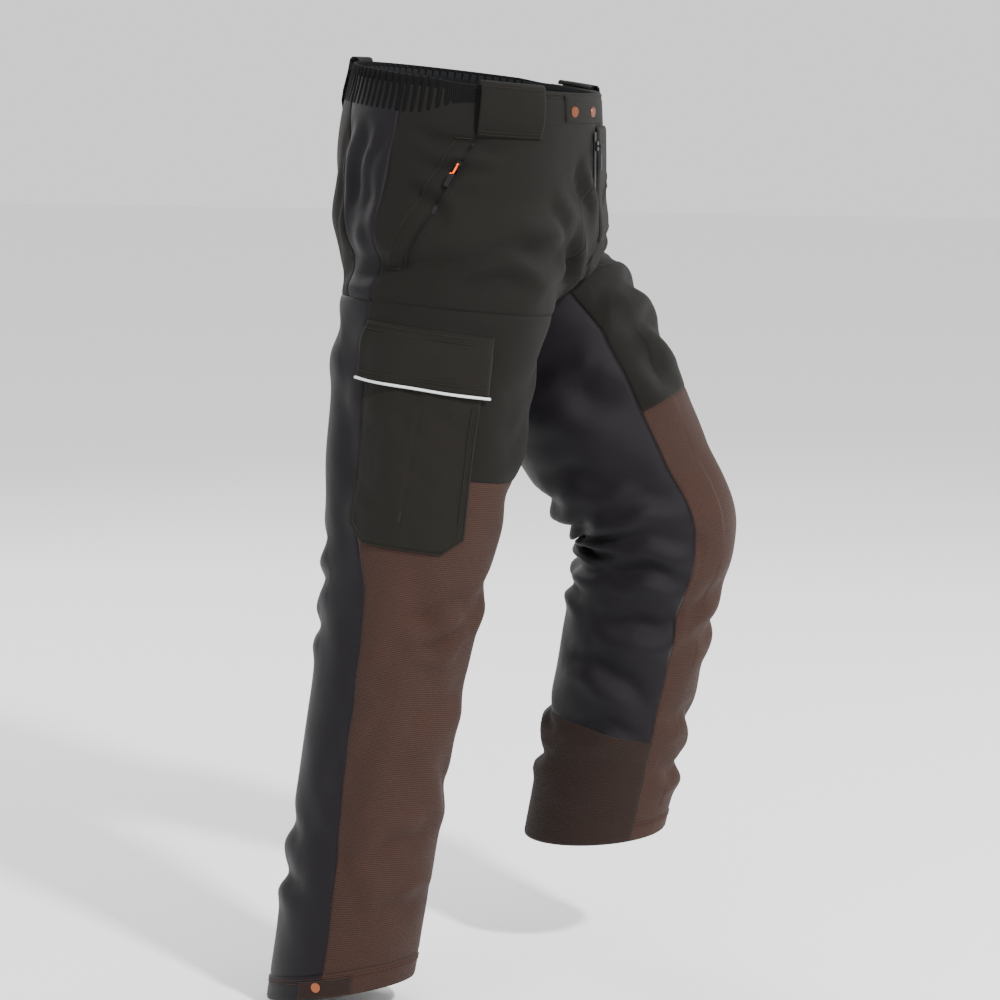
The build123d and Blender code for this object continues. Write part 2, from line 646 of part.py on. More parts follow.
def make_pull(seat):
    """A cord with a moulded end that hangs from the slider's bail and swings on it."""
    bail_height = ZIP_THICK + SLIDER_CLEARANCE + SLIDER_HEIGHT + BAIL_LIFT
    eye_outside = BAIL_RADIUS + EYE_CLEARANCE + EYE_WALL
    with BuildPart() as pull:
        with BuildSketch(Plane(seat)):
            with Locations((bail_height, 0)):
                Circle(eye_outside)
            with Locations((bail_height, PULL_CORD / 2)):
                Rectangle(PULL_CORD_THICK, PULL_CORD)
            with Locations((bail_height, 0)):
                Circle(BAIL_RADIUS + EYE_CLEARANCE, mode=Mode.SUBTRACT)
        extrude(amount=PULL_CORD_THICK / 2, both=True)
        with BuildSketch(Plane(seat)):
            with Locations((bail_height, (PULL_CORD + PULL_GRIP / 2 - 1))):
                RectangleRounded(PULL_THICK, PULL_GRIP, PULL_THICK * 0.4)
        extrude(amount=PULL_WIDTH / 2, both=True)
    return pull


for name, side in SIDE.items():
    slider_turn = degrees(SLIDER_AT / zip_radius)
    seat_place = zip_frame(side, slider_turn) * Location((zip_radius, 0, 0))
    pocket_slider = make_slider(seat_place)
    save(pocket_slider, f"{name}_pocket_slider")
    pocket_pull = make_pull(seat_place)
    save(pocket_pull, f"{name}_pocket_pull")

fly_slider_place = fly_seat * Location((0, FLY_SLIDER_AT, 0))
fly_slider = make_slider(fly_slider_place)
save(fly_slider, "fly_slider")
fly_pull = make_pull(fly_slider_place)
save(fly_pull, "fly_pull")

# ---------------------------------------------------------------- cargo pockets and their flaps


def thigh_patch(name, inner, cloth, outline):
    """A piece of cloth on the outside of a thigh, a distance off it, cut to an outline seen from the side."""
    with BuildPart() as patch:
        loft(thigh_ovals(name, -inner - cloth, THIGH_TABLE))
        loft(thigh_ovals(name, -inner, THIGH_TABLE), mode=Mode.SUBTRACT)
        add(side_prism(hip_frame(name) * Location((SIDE[name] * KNEE[3], 0, 0)), SIDE[name], outline),
            mode=Mode.INTERSECT)
    return patch


tape_seat = OVERLAY_GAP + CARGO_CLOTH
flap_seat = tape_seat + 2 * TAPE_CLOTH + TAPE_GAP
tape_bottom = FLAP_BOTTOM - PIPING_HEIGHT - 4
tape_outline = box_outline(CARGO_FRONT + TAPE_MARGIN, CARGO_BACK - TAPE_MARGIN,
                           tape_bottom - TAPE_HEIGHT, tape_bottom)
for name, side in SIDE.items():
    cargo = thigh_patch(name, OVERLAY_GAP, CARGO_CLOTH,
                        box_outline(CARGO_FRONT, CARGO_BACK, CARGO_TOP, CARGO_BOTTOM, CARGO_CHAMFER))
    save(cargo, f"{name}_cargo_pocket")
    hook_tape = thigh_patch(name, tape_seat + TAPE_CLOTH + TAPE_GAP, TAPE_CLOTH, tape_outline)
    save(hook_tape, f"{name}_flap_hook_tape")
    flap = thigh_patch(name, flap_seat, FLAP_CLOTH,
                       box_outline(FLAP_FRONT, FLAP_BACK, FLAP_TOP, FLAP_BOTTOM))
    save(flap, f"{name}_cargo_flap")
    piping = thigh_patch(name, flap_seat + FLAP_CLOTH, PIPING_THICK,
                         box_outline(FLAP_FRONT, FLAP_BACK, FLAP_BOTTOM - PIPING_HEIGHT, FLAP_BOTTOM))
    save(piping, f"{name}_flap_piping")

with BuildPart() as loop_tapes:
    for name in SIDE:
        add(thigh_patch(name, tape_seat, TAPE_CLOTH, tape_outline).part)
save(loop_tapes, "pocket_loop_tapes")

# ---------------------------------------------------------------- hem tabs


def hem_spot(name, angle, proud):
    """Frame on the hem at half its height: Z points outwards."""
    side = SIDE[name]
    half_width, half_depth, centre = between(SHIN_TABLE, HEM_DEPTH)
    around = radians(angle)
    across, back = side * half_width * sin(around), -half_depth * cos(around)
    outward = Vector(across / half_width ** 2, back / half_depth ** 2, 0).normalized()
    rise = HEM_BAND / 2 / cos(radians(HEM_SLOPE)) - back * tan(radians(HEM_SLOPE))
    spot = Vector(side * centre + across, back, rise - shin_depth(name, HEM_DEPTH)) + outward * proud
    flat = Plane(origin=spot, x_dir=(outward.Y, -outward.X, 0), z_dir=outward)
    return Plane(shin_frame(name) * flat.location)


def hem_layer(name, inner, cloth, low, high):
    """A ring of cloth outside the hem between two heights above its edge."""
    with BuildPart() as ring:
        add(shin_layer(name, -inner - cloth, -inner, low))
        split(bisect_by=hem_plane(name, high), keep=Keep.BOTTOM)
    return ring.part


for name, side in SIDE.items():
    tab_wedge = leg_wedge(name, shin_frame(name), HEM_TAB_FROM, HEM_TAB_TO, REACH, FOOT[0])
    with BuildPart() as hem_tab:
        add(hem_layer(name, OVERLAY_GAP, HEM_TAB_CLOTH, HEM_TAB_MARGIN, HEM_TAB_MARGIN + HEM_TAB_HEIGHT))
        add(tab_wedge, mode=Mode.INTERSECT)
        with BuildSketch(hem_spot(name, HEM_SNAP_ANGLES[0], -CLOTH)):
            Circle(STUD_RADIUS + SOCKET_CLEARANCE)
        extrude(amount=CLOTH + OVERLAY_GAP + STUD_HEIGHT + SOCKET_CLEARANCE, mode=Mode.SUBTRACT)
    save(hem_tab, f"{name}_hem_tab")

    with BuildPart() as hem_cap:
        with BuildSketch(hem_spot(name, HEM_SNAP_ANGLES[0], OVERLAY_GAP + HEM_TAB_CLOTH - CLOTH / 2)):
            Circle(SNAP_RADIUS)
        extrude(amount=CLOTH / 2 + SNAP_HEIGHT, taper=20)
        add(hem_layer(name, 0, OVERLAY_GAP + HEM_TAB_CLOTH, 0, HEM_BAND + HEM_TAB_MARGIN), mode=Mode.SUBTRACT)
    save(hem_cap, f"{name}_hem_snap_cap")

    with BuildPart() as hem_studs:
        for angle in HEM_SNAP_ANGLES:
            with BuildSketch(hem_spot(name, angle, -CLOTH / 2)):
                Circle(STUD_RADIUS)
            extrude(amount=CLOTH / 2 + STUD_HEIGHT)
        add(shin_layer(name, 0, 2 * CLOTH, 0), mode=Mode.SUBTRACT)
    save(hem_studs, f"{name}_hem_snap_studs")
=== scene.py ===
import bpy
import numpy as np
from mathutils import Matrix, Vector


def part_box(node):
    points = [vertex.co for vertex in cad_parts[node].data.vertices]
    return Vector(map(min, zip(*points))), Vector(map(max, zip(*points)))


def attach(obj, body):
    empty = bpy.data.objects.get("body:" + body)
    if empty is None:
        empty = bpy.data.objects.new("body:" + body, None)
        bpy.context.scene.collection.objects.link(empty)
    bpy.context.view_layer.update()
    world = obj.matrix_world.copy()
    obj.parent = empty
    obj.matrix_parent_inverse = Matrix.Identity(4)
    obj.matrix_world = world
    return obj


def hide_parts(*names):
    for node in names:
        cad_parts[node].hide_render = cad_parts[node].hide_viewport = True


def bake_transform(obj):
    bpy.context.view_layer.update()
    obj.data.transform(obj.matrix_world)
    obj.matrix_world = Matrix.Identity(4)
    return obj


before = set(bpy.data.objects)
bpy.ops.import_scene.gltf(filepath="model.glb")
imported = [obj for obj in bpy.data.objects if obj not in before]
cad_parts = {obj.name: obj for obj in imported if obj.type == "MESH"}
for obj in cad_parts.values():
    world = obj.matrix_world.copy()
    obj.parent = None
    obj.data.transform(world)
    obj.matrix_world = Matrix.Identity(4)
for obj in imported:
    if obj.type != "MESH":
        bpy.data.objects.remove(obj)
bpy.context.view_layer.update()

# ---------------------------------------------------------------- the studio
# A plain pale sweep under soft lights. The trousers stand free, as on a wearer in mid stride,
# seen from the wearer's right and a little from the front.
CAMERA_TURN, CAMERA_TILT = np.radians(-71.8), np.radians(9.0)
CAMERA_REACH, CAMERA_LENS, CAMERA_SHIFT = 3.44, 102.3, (0.022, 0.030)
FLOOR_GAP = 0.004

lowest = min(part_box(side + "_hem")[0].z for side in ("right", "left"))
bpy.ops.mesh.primitive_plane_add(size=40, location=(0, 0, lowest - FLOOR_GAP))
floor = bpy.context.object
floor.name = "studio_floor"
paper = bpy.data.materials.new("studio_paper")
paper.use_nodes = True
paper_shader = paper.node_tree.nodes["Principled BSDF"].inputs
paper_shader["Base Color"].default_value, paper_shader["Roughness"].default_value = (0.93, 0.93, 0.93, 1), 0.9
floor.data.materials.append(paper)

world = bpy.data.worlds.new("studio_air")
bpy.context.scene.world = world
world.use_nodes = True
air = world.node_tree.nodes["Background"].inputs
air["Color"].default_value, air["Strength"].default_value = (1, 1, 1, 1), 1.15


def soft_box(name, place, aim, size, power):
    """A square area light at a place, turned to face a point."""
    light = bpy.data.lights.new(name, "AREA")
    light.energy, light.size = power, size
    lamp = bpy.data.objects.new(name, light)
    lamp.location = place
    lamp.rotation_euler = (Vector(aim) - Vector(place)).to_track_quat("-Z", "Y").to_euler()
    bpy.context.scene.collection.objects.link(lamp)


MIDDLE = (0, -0.02, -0.5)
soft_box("key_light", (-2.0, -2.9, 2.4), MIDDLE, 0.35, 330)
soft_box("side_light", (-3.2, 1.6, 0.6), MIDDLE, 1.6, 22)
soft_box("back_light", (2.2, 2.4, 1.4), MIDDLE, 1.6, 60)
soft_box("left_light", (2.6, -2.2, 0.8), MIDDLE, 1.6, 45)

backwards = np.array([np.sin(CAMERA_TURN), -np.cos(CAMERA_TURN), 0.0])
camera_data = bpy.data.cameras.new("camera")
camera_data.lens, camera_data.sensor_width = CAMERA_LENS, 36
camera = bpy.data.objects.new("camera", camera_data)
camera.location = backwards * CAMERA_REACH
camera.rotation_euler = (np.pi / 2 - CAMERA_TILT, 0, CAMERA_TURN)
camera_data.shift_x, camera_data.shift_y = CAMERA_SHIFT
bpy.context.scene.collection.objects.link(camera)
bpy.context.scene.camera = camera

# ---------------------------------------------------------------- the cut of the trousers
# The trousers are first laid out standing straight, as a tailor's dummy wears them, and then turned
# at the hips and knees into the stride. Rows run from the waist to the hem, columns run round a leg.
# Sections: depth below the waist, half width, half depth, shift to the back or distance from the middle.
TORSO = np.array([(-0.02, .165, .144, .000), (.000, .166, .145, .000), (.050, .171, .153, .006),
                  (.125, .185, .157, .010), (.205, .192, .148, .005), (.262, .100, .088, .000), (.285, .030, .030, 0)])
LEG = np.array([(.172, .084, .112, .095), (.205, .093, .128, .096), (.262, .095, .126, .098), (.330, .094, .122, .099),
                (.450, .090, .114, .100), (.600, .081, .098, .100), (.690, .078, .092, .100), (.800, .076, .090, .100),
                (.950, .074, .088, .100), (1.180, .073, .086, .100)])
WAIST_TILT = np.radians(7)
STRIDE = {-1: np.radians(-7.4), 1: np.radians(28.0)}
SPREAD = {-1: np.radians(3.5), 1: np.radians(4.5)}
KNEE_BEND = {-1: np.radians(1.0), 1: np.radians(40.0)}
DRAWN_UP = {-1: 0.0, 1: 0.090}
HIP, KNEE = np.array([.095, -.008, -.190]), np.array([.100, -.005, -.600])
KNEE_DEPTH = .600
YOKE, BROWN_TOP, PATCH, HEM_SEAM, HEM = .262, .457, .915, 1.070, 1.100
OUTER_SEAM_DEPTH, OUTER_SEAM_TURN = (YOKE, .345, .540, KNEE_DEPTH, .860, 1.03), (121, 118, 112, 102, 97, 90)
HEM_SLOPE = np.tan(np.radians(20))
FOLD_OF_GROIN = .026


def smooth(value):
    """0 below 0, 1 above 1, with a smooth step between."""
    value = np.clip(value, 0, 1)
    return value * value * (3 - 2 * value)


def spline(table, depth, column):
    """A column of a table of sections at any depth, by a cubic through the sections (Catmull-Rom)."""
    x, y = table[:, 0], table[:, column]
    slope = np.gradient(y, x)
    at = np.clip(depth, x[0], x[-1])
    i = np.clip(np.searchsorted(x, at) - 1, 0, len(x) - 2)
    run = x[i + 1] - x[i]
    t = (at - x[i]) / run
    return ((2 * t**3 - 3 * t**2 + 1) * y[i] + (t**3 - 2 * t**2 + t) * run * slope[i]
            + (3 * t**2 - 2 * t**3) * y[i + 1] + (t**3 - t**2) * run * slope[i + 1])


def body_depth(points):
    """Depth below the tilted waist; the tilt fades out at the seat."""
    depth = -points[..., 2]
    return depth + points[..., 1] * np.tan(WAIST_TILT) * np.clip(1 - depth / .205, 0, 1.15)


def off_cloth(points):
    """Signed distance from the straight trousers: an oval torso and two oval legs, joined with a soft fold."""
    depth, x, y = body_depth(points), np.abs(points[..., 0]), points[..., 1]
    a, b, c = (spline(TORSO, depth, k) for k in (1, 2, 3))
    a, b = np.maximum(a, .01), np.maximum(b, .01)
    trunk = (np.hypot(x / a, (y - c) / b) - 1) * np.minimum(a, b)
    trunk = np.maximum(trunk, depth - .272)
    a, b, c = (spline(LEG, depth, k) for k in (1, 2, 3))
    leg = (np.hypot((x - c) / a, y / b) - 1) * np.minimum(a, b)
    leg = np.maximum(leg, .165 - depth)
    fold = .006 + (FOLD_OF_GROIN - .006) * smooth((.150 - x) / .060)
    near = np.maximum(fold - np.abs(trunk - leg), 0)
    return np.minimum(trunk, leg) - near**2 / (4 * fold)


def onto_cloth(points):
    """Moves points level along the gradient g of the distance d, by -d g / |g|^2, until they lie on the surface."""
    points = points.copy()
    step = 1e-4
    for _ in range(12):
        value = off_cloth(points)
        gradient = np.stack([(off_cloth(points + step * axis) - value) / step for axis in np.eye(3)], -1)
        gradient[..., 2] = 0
        size = np.maximum((gradient**2).sum(-1), .05)
        points -= (value / size)[..., None] * gradient
    return points


def turn(points, pivot, axis, angle):
    """Turns points about a line through the pivot along X (0) or Y (1), by an angle of their own each."""
    x, y, z = np.moveaxis(points - pivot, -1, 0)
    c, s = np.cos(angle), np.sin(angle)
    if axis == 0:
        turned = (x, y * c - z * s, y * s + z * c)
    else:
        turned = (x * c + z * s, y, -x * s + z * c)
    return np.stack(turned, -1) + pivot


def stride(points, side):
    """Straight trousers to the stride: the shin drawn up and bent at the knee, the leg swung at the hip."""
    depth, across = -points[..., 2], np.abs(points[..., 0])
    pivot = np.array([side, 1, 1])
    below = np.maximum(depth - KNEE_DEPTH, 0)
    points = points + np.stack([0 * below, 0 * below, below * DRAWN_UP[side] / (HEM - KNEE_DEPTH)], -1)
    knee = smooth((-points[..., 2] - .530) / .140)
    points = turn(points, KNEE * pivot, 0, KNEE_BEND[side] * knee)
    share = smooth((depth - .190) / .120) * smooth((across + np.maximum(depth - .235, 0) * 1.5) / .060)
    points = turn(points, HIP * pivot, 1, -side * SPREAD[side] * share)
    return turn(points, HIP * pivot, 0, -STRIDE[side] * share)


# Columns: centre front, hip side seam, seat seam, centre back, inner seam, and round to the front again.
COLUMNS = {"front": 0, "side": 28, "seat": 37, "back": 48, "inner": 70, "all": 84}
ROWS = {"waist": 0, "yoke": 32, "brown": 61, "patch": 116, "hem_seam": 137, "hem": 142}
COLUMN_AT = np.array(list(COLUMNS.values()))
ROW_AT = np.array(list(ROWS.values()))[1:]
DEPTH_AT = np.array([YOKE, BROWN_TOP, PATCH, HEM_SEAM, HEM])


def leg_turns(depth):
    """Turn round the leg in degrees of the named columns at a depth."""
    outer = np.interp(depth, OUTER_SEAM_DEPTH, OUTER_SEAM_TURN)
    still = np.ones_like(depth)
    return np.stack([-22 * still, outer, outer + (165 - outer) * .5, 165 * still, 310 * still, 338 * still])


def lay_out(side):
    """Straight grid of one half of the trousers: rows by columns by 3. Round columns close on themselves."""
    column = np.arange(COLUMNS["all"])
    count = COLUMNS["back"]
    waist_angle = np.radians(np.interp(column, COLUMN_AT[:4], (0, 105, 142, 180)))
    x = .166 * np.sin(waist_angle)
    y = -.145 * np.cos(waist_angle)
    z = y * np.tan(WAIST_TILT)
    top = np.stack([x, y, z], -1)
    # the centre seam: down the back, under the crotch and up the front
    way = (column[count:] - count) / (COLUMNS["all"] - count)
    bend = np.radians(90 - 180 * np.clip((way - .30) / .36, 0, 1))
    drop = np.where(way < .30, way / .30, np.where(way > .66, (1 - way) / .34, 1))
    sweep = .090
    back_y = np.interp(drop, (0, .5, 1), (.146, .164, .140))
    front_y = np.interp(drop, (0, .5, 1), (-.145, -.147, -.132))
    seam_y = np.where(way < .30, back_y, np.where(way > .66, front_y, .136 * np.sin(bend) + .004))
    seam_z = np.where(drop < 1, -drop * .165 + seam_y * .06 * (1 - drop), -.165 - sweep * np.cos(bend))
    top[count:] = np.stack([0 * way, seam_y, seam_z], -1)

    depth = np.interp(np.arange(ROWS["yoke"], ROWS["hem"] + 1), ROW_AT, DEPTH_AT)[:, None]
    angle = np.radians(np.stack([np.interp(column, COLUMN_AT, knot) for knot in leg_turns(depth[:, 0]).T]))
    a, b, c = (spline(LEG, depth, k) for k in (1, 2, 3))
    leg_x, leg_y = c + a * np.sin(angle), -b * np.cos(angle)
    leg_z = -depth - smooth((depth - .90) / (HEM_SEAM - .90)) * HEM_SLOPE * leg_y
    leg = onto_cloth(np.stack([leg_x, leg_y, leg_z], -1))

    share = (np.arange(ROWS["yoke"]) / ROWS["yoke"])[:, None, None]
    hips = onto_cloth(top * (1 - share) + leg[0] * share)
    hips[0, :count + 1, 2] = hips[0, :count + 1, 1] * np.tan(WAIST_TILT)
    hips[0, count:, 0] = 0
    hips[0, 0, 0] = 0
    return np.concatenate([hips, leg]) * (side, 1, 1)


straight = np.stack([lay_out(side) for side in (-1, 1)])
posed = np.stack([stride(straight[k], side) for k, side in enumerate((-1, 1))])
GRID = posed.shape[:3]


def sew():
    """Vertex numbers of both halves, which share the centre seam, and the faces as quads of those numbers."""
    number = np.arange(np.prod(GRID)).reshape(GRID)
    number[1, 0, COLUMNS["back"]:] = number[0, 0, COLUMNS["back"]:]
    number[1, 0, 0] = number[0, 0, 0]
    quads = []
    for half in (0, 1):
        n = number[half]
        right = np.roll(n, -1, 1)
        quad = np.stack([n[:-1], n[1:], right[1:], right[:-1]], -1).reshape(-1, 4)
        quads.append(quad[:, ::-1] if half else quad)
    return number, np.concatenate(quads)


number, quads = sew()


def relax(points, amount, rounds):
    """Moves each point towards the mean of the points joined to it by an edge, by its own amount, over and over."""
    flat = points.reshape(-1, 3).copy()
    ends = np.concatenate([quads[:, [0, 1]], quads[:, [1, 2]], quads[:, [2, 3]], quads[:, [3, 0]]])
    ends = np.unique(np.sort(ends, 1), axis=0)
    a, b = np.concatenate([ends, ends[:, ::-1]]).T
    count = np.maximum(np.bincount(a, minlength=len(flat)), 1)[:, None]
    amount = np.asarray(amount).reshape(-1, 1)
    for _ in range(rounds):
        mean = np.stack([np.bincount(a, flat[b, k], len(flat)) for k in range(3)], -1) / count
        flat += (mean - flat) * amount
    return flat[number]


def new_mesh(name, points, faces):
    """An object at the origin from points and faces in metres."""
    mesh = bpy.data.meshes.new(name)
    mesh.from_pydata(np.asarray(points).reshape(-1, 3).tolist(), [], [list(f) for f in np.asarray(faces).tolist()])
    mesh.update()
    piece = bpy.data.objects.new(name, mesh)
    bpy.context.scene.collection.objects.link(piece)
    return piece


# The crotch, where the two thighs part, is eased by a few rounds of averaging.
crotch = np.array([0, 0, -.262])
loose = smooth((.120 - np.linalg.norm(straight - crotch, axis=-1)) / .070)
loose[:, 0, :COLUMNS["back"] + 1] = 0
eased = relax(posed, loose * .6, 60)

# Folds are pressed into the cloth as strokes: turn round the leg and depth at both ends, width and depth of the
# fold in millimetres. The straight leg has few; the bent one is full of them behind the knee, where it is drawn up.
STROKES = {
    -1: [(20, .6, 75, .625, 14, 5), (15, .625, 62, .66, 10, 4), (-30, .58, 30, .61, 16, 4),
         (-20, .7, 60, .74, 22, 3.5), (78, .93, 20, .875, 14, 4.5), (60, .99, -10, .955, 14, 4),
         (110, .9, 60, .99, 18, 3), (-35, .84, 25, .8, 20, 3.5), (150, .55, 210, .6, 16, 5),
         (140, .6, 235, .64, 15, 5), (150, .66, 215, .68, 14, 4), (130, .9, 225, .93, 16, 4),
         (120, .98, 200, .96, 14, 4), (118, .3, 104, .52, 16, 3), (136, .28, 118, .6, 20, 3),
         (100, .62, 112, .86, 18, 3), (84, .7, 96, 1.0, 20, 3), (-30, .3, 30, .36, 20, 4),
         (-40, .33, 20, .42, 22, 3.5), (150, .3, 215, .34, 22, 5), (240, .34, 300, .42, 22, 4),
         (240, .72, 300, .78, 20, 4), (20, .45, -40, .5, 24, 3), (70, .56, 40, .7, 18, 3)],
    1: [(150, .52, 230, .5, 13, 7), (130, .56, 250, .545, 13, 8), (120, .6, 255, .585, 12, 9),
        (130, .64, 250, .625, 12, 8), (145, .68, 240, .665, 13, 7), (150, .72, 225, .71, 14, 6),
        (220, .47, 300, .53, 18, 6), (235, .52, 310, .57, 16, 6), (250, .58, 320, .62, 16, 5),
        (245, .66, 310, .64, 16, 6), (240, .75, 318, .71, 18, 6), (225, .8, 300, .84, 18, 5),
        (-45, .3, 40, .33, 18, 7), (-40, .33, 20, .4, 20, 6), (-50, .36, -5, .45, 20, 5),
        (30, .29, 100, .34, 20, 5), (-45, .7, 10, .66, 16, 4), (-35, .74, 40, .71, 18, 4),
        (-45, .86, 30, .9, 18, 5), (-40, .95, 40, .98, 16, 5), (60, .92, 120, .95, 16, 5),
        (130, .9, 225, .93, 16, 5), (225, .93, 300, .89, 16, 4), (120, 1.0, 230, .985, 14, 5),
        (110, .36, 100, .55, 20, 3), (250, .36, 300, .44, 22, 6), (235, .32, 290, .37, 20, 6),
        (40, .55, 70, .66, 20, 3)]}
HIP_STROKES = [(60, .066, 102, .062, 9, 4), (66, .096, 94, .092, 8, 2.6), (38, .13, 20, .24, 11, 4),
               (30, .16, 12, .25, 11, 5), (60, .19, 28, .212, 13, 5), (78, .226, 46, .238, 11, 4),
               (20, .08, 11, .16, 9, 4), (98, .12, 84, .165, 9, 4), (15, .165, 62, .235, 18, 4),
               (8, .205, 48, .25, 16, 5), (28, .1, 12, .2, 16, 3), (120, .06, 128, .24, 14, 3),
               (112, .055, 114, .2, 9, 3), (132, .055, 140, .2, 9, 3), (123, .052, 124, .16, 8, 2.6),
               (150, .18, 176, .24, 18, 4), (100, .215, 135, .235, 18, 4), (140, .1, 170, .14, 22, 2.5)]


def fold_height(strokes, turn_at, depth, radius):
    """Sum over the strokes of a groove with a ridge below it, -exp(-q^2) + 0.7 exp(-(q - 1.7)^2) times its
    height, where q is the distance from the stroke over its width; it fades at both ends."""
    height = np.zeros(np.broadcast(turn_at, depth).shape)
    for from_turn, from_depth, to_turn, to_depth, wide, high in strokes:
        middle = (from_turn + to_turn) / 2
        across = (((turn_at - middle + 180) % 360) + middle - 180 - from_turn) * np.pi / 180 * radius
        run = np.array([(to_turn - from_turn) * np.pi / 180 * radius, to_depth - from_depth])
        length = np.hypot(*run)
        along = (across * run[0] + (depth - from_depth) * run[1]) / length
        wander = .006 * np.sin(along * 40 + from_turn) + .003 * np.sin(along * 95 + from_depth * 60)
        side_way = (across * -run[1] + (depth - from_depth) * run[0]) / length + wander
        q = side_way / (wide / 1000)
        t = np.clip(along / length, 0, 1)
        off = np.abs(along - t * length)
        fade = (.15 + .85 * np.sin(np.pi * t) ** .7) * np.exp(-(off / (wide / 700)) ** 2)
        height += 1.5 * high / 1000 * fade * (-np.exp(-q**2) + .7 * np.exp(-(q - 1.7) ** 2))
    return height


def ripple(turn_at, depth, seed):
    """A faint unevenness of the whole cloth: a few slanting sine waves of different lengths multiplied in pairs."""
    rng = np.random.default_rng(seed)
    height = 0
    for _ in range(7):
        a, b, c, d = rng.uniform(-1, 1, 4)
        height = height + np.sin(np.radians(turn_at) * (3 + 3 * a) + depth * 30 * b + 6 * c) \
            * np.sin(depth * (38 + 22 * d) + np.radians(turn_at) * 4 * b + 5 * a)
    return height * .00045


def widen(grid, times):
    """The grid at a finer spacing by Catmull-Rom cubics, along the rows (open) and round the columns (closed)."""
    rows, columns = grid.shape[:2]

    def cubic(a, b, c, d, t):
        return .5 * (2 * b + (c - a) * t + (2 * a - 5 * b + 4 * c - d) * t**2 + (3 * b - a - 3 * c + d) * t**3)

    t = (np.arange(times) / times)[None, :, None, None]
    padded = np.concatenate([2 * grid[:1] - grid[1:2], grid, 2 * grid[-1:] - grid[-2:-1]])
    a, b, c, d = (padded[k:k + rows - 1, None] for k in range(4))
    fine = cubic(a, b, c, d, t).reshape((rows - 1) * times, columns, 3)
    fine = np.concatenate([fine, grid[-1:]])
    t = (np.arange(times) / times)[None, None, :, None]
    a, b, c, d = (np.roll(fine, 1 - k, 1)[:, :, None] for k in range(4))
    return cubic(a, b, c, d, t).reshape(fine.shape[0], columns * times, 3)


def facing(grid, side):
    """Outward unit normals of a closed grid from its differences along rows and columns."""
    down = np.gradient(grid, axis=0)
    round_ = (np.roll(grid, -1, 1) - np.roll(grid, 1, 1)) / 2
    normal = np.cross(round_, down) * -side
    return normal / np.maximum(np.linalg.norm(normal, axis=-1, keepdims=True), 1e-9)


FINER = 2
skins = {}
for k, side in enumerate((-1, 1)):
    coarse = eased[k].copy()
    base = straight[k] * (side, 1, 1)
    depth = body_depth(base)
    turn_at = np.degrees(np.arctan2(base[..., 0], -base[..., 1]))
    leg_turn = np.stack([np.interp(np.arange(COLUMNS["all"]), COLUMN_AT, knots)
                         for knots in leg_turns(depth[ROWS["yoke"]:, 10]).T])
    height = np.zeros(coarse.shape[:2])
    hip_rows = slice(0, ROWS["yoke"])
    leg_rows = slice(ROWS["yoke"], None)
    lift = fold_height(HIP_STROKES, turn_at[hip_rows], depth[hip_rows], .15)
    height[hip_rows] = lift * smooth((depth[hip_rows] - .045) / .02)
    on_leg = fold_height(STROKES[side], leg_turn, depth[leg_rows], .10) + ripple(leg_turn, depth[leg_rows], 5 + side)
    height[leg_rows] = on_leg * smooth((1.075 - depth[leg_rows]) / .05)
    height = height * smooth(np.abs(np.arange(coarse.shape[0])[:, None] - ROWS["yoke"]) / 3 + .15)
    coarse += facing(coarse, side) * height[..., None]
    skins[side] = widen(coarse, FINER)
faces_out = {side: facing(grid, side) for side, grid in skins.items()}
middle = skins[1][0, COLUMNS["back"] * FINER:]
middle[:, 0] = skins[-1][0, COLUMNS["back"] * FINER:, 0] = 0


def skin(side, row, column, lift=0.0):
    """A point of the folded cloth at any row and column, raised by lift: the four nearest grid points, mixed."""
    row, column = np.broadcast_arrays(np.asarray(row, float) * FINER, np.asarray(column, float) * FINER)
    i = np.clip(np.floor(row).astype(int), 0, skins[side].shape[0] - 2)
    j = np.floor(column).astype(int)
    s, t = (row - i)[..., None], (column - j)[..., None]
    wide = skins[side].shape[1]
    j, k = j % wide, (j + 1) % wide

    def mixed(values):
        return (values[i, j] * (1 - s) * (1 - t) + values[i + 1, j] * s * (1 - t)
                + values[i, k] * (1 - s) * t + values[i + 1, k] * s * t)

    return mixed(skins[side]) + mixed(faces_out[side]) * np.asarray(lift)[..., None]


def place(turn_at, depth):
    """Row and column of a place on a leg given as its turn round the leg in degrees and its depth."""
    turn_at, depth = np.broadcast_arrays(np.asarray(turn_at, float), np.asarray(depth, float))
    knots = leg_turns(depth)
    turn_at = (turn_at + 22) % 360 - 22
    column = np.zeros_like(turn_at)
    for k in range(len(COLUMN_AT) - 1):
        share = np.clip((turn_at - knots[k]) / (knots[k + 1] - knots[k]), 0, 1)
        column += share * (COLUMN_AT[k + 1] - COLUMN_AT[k])
    return np.interp(depth, DEPTH_AT, ROW_AT), column


def leg_axis(side, depth):
    """The middle of a leg at a depth, in its stride."""
    return stride(np.array([[side * .100, 0, -depth]]), side)[0]


def across_knee(piece, side):
    """Bakes a piece's placement into its mesh; points on the knee's axis a little above and below it are worked out
    but not used, so the piece is not bent.
    """
    shin = ("right" if side < 0 else "left") + "_shin"
    tuple(leg_axis(side, .515))
    tuple(leg_axis(side, .690))
    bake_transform(piece)


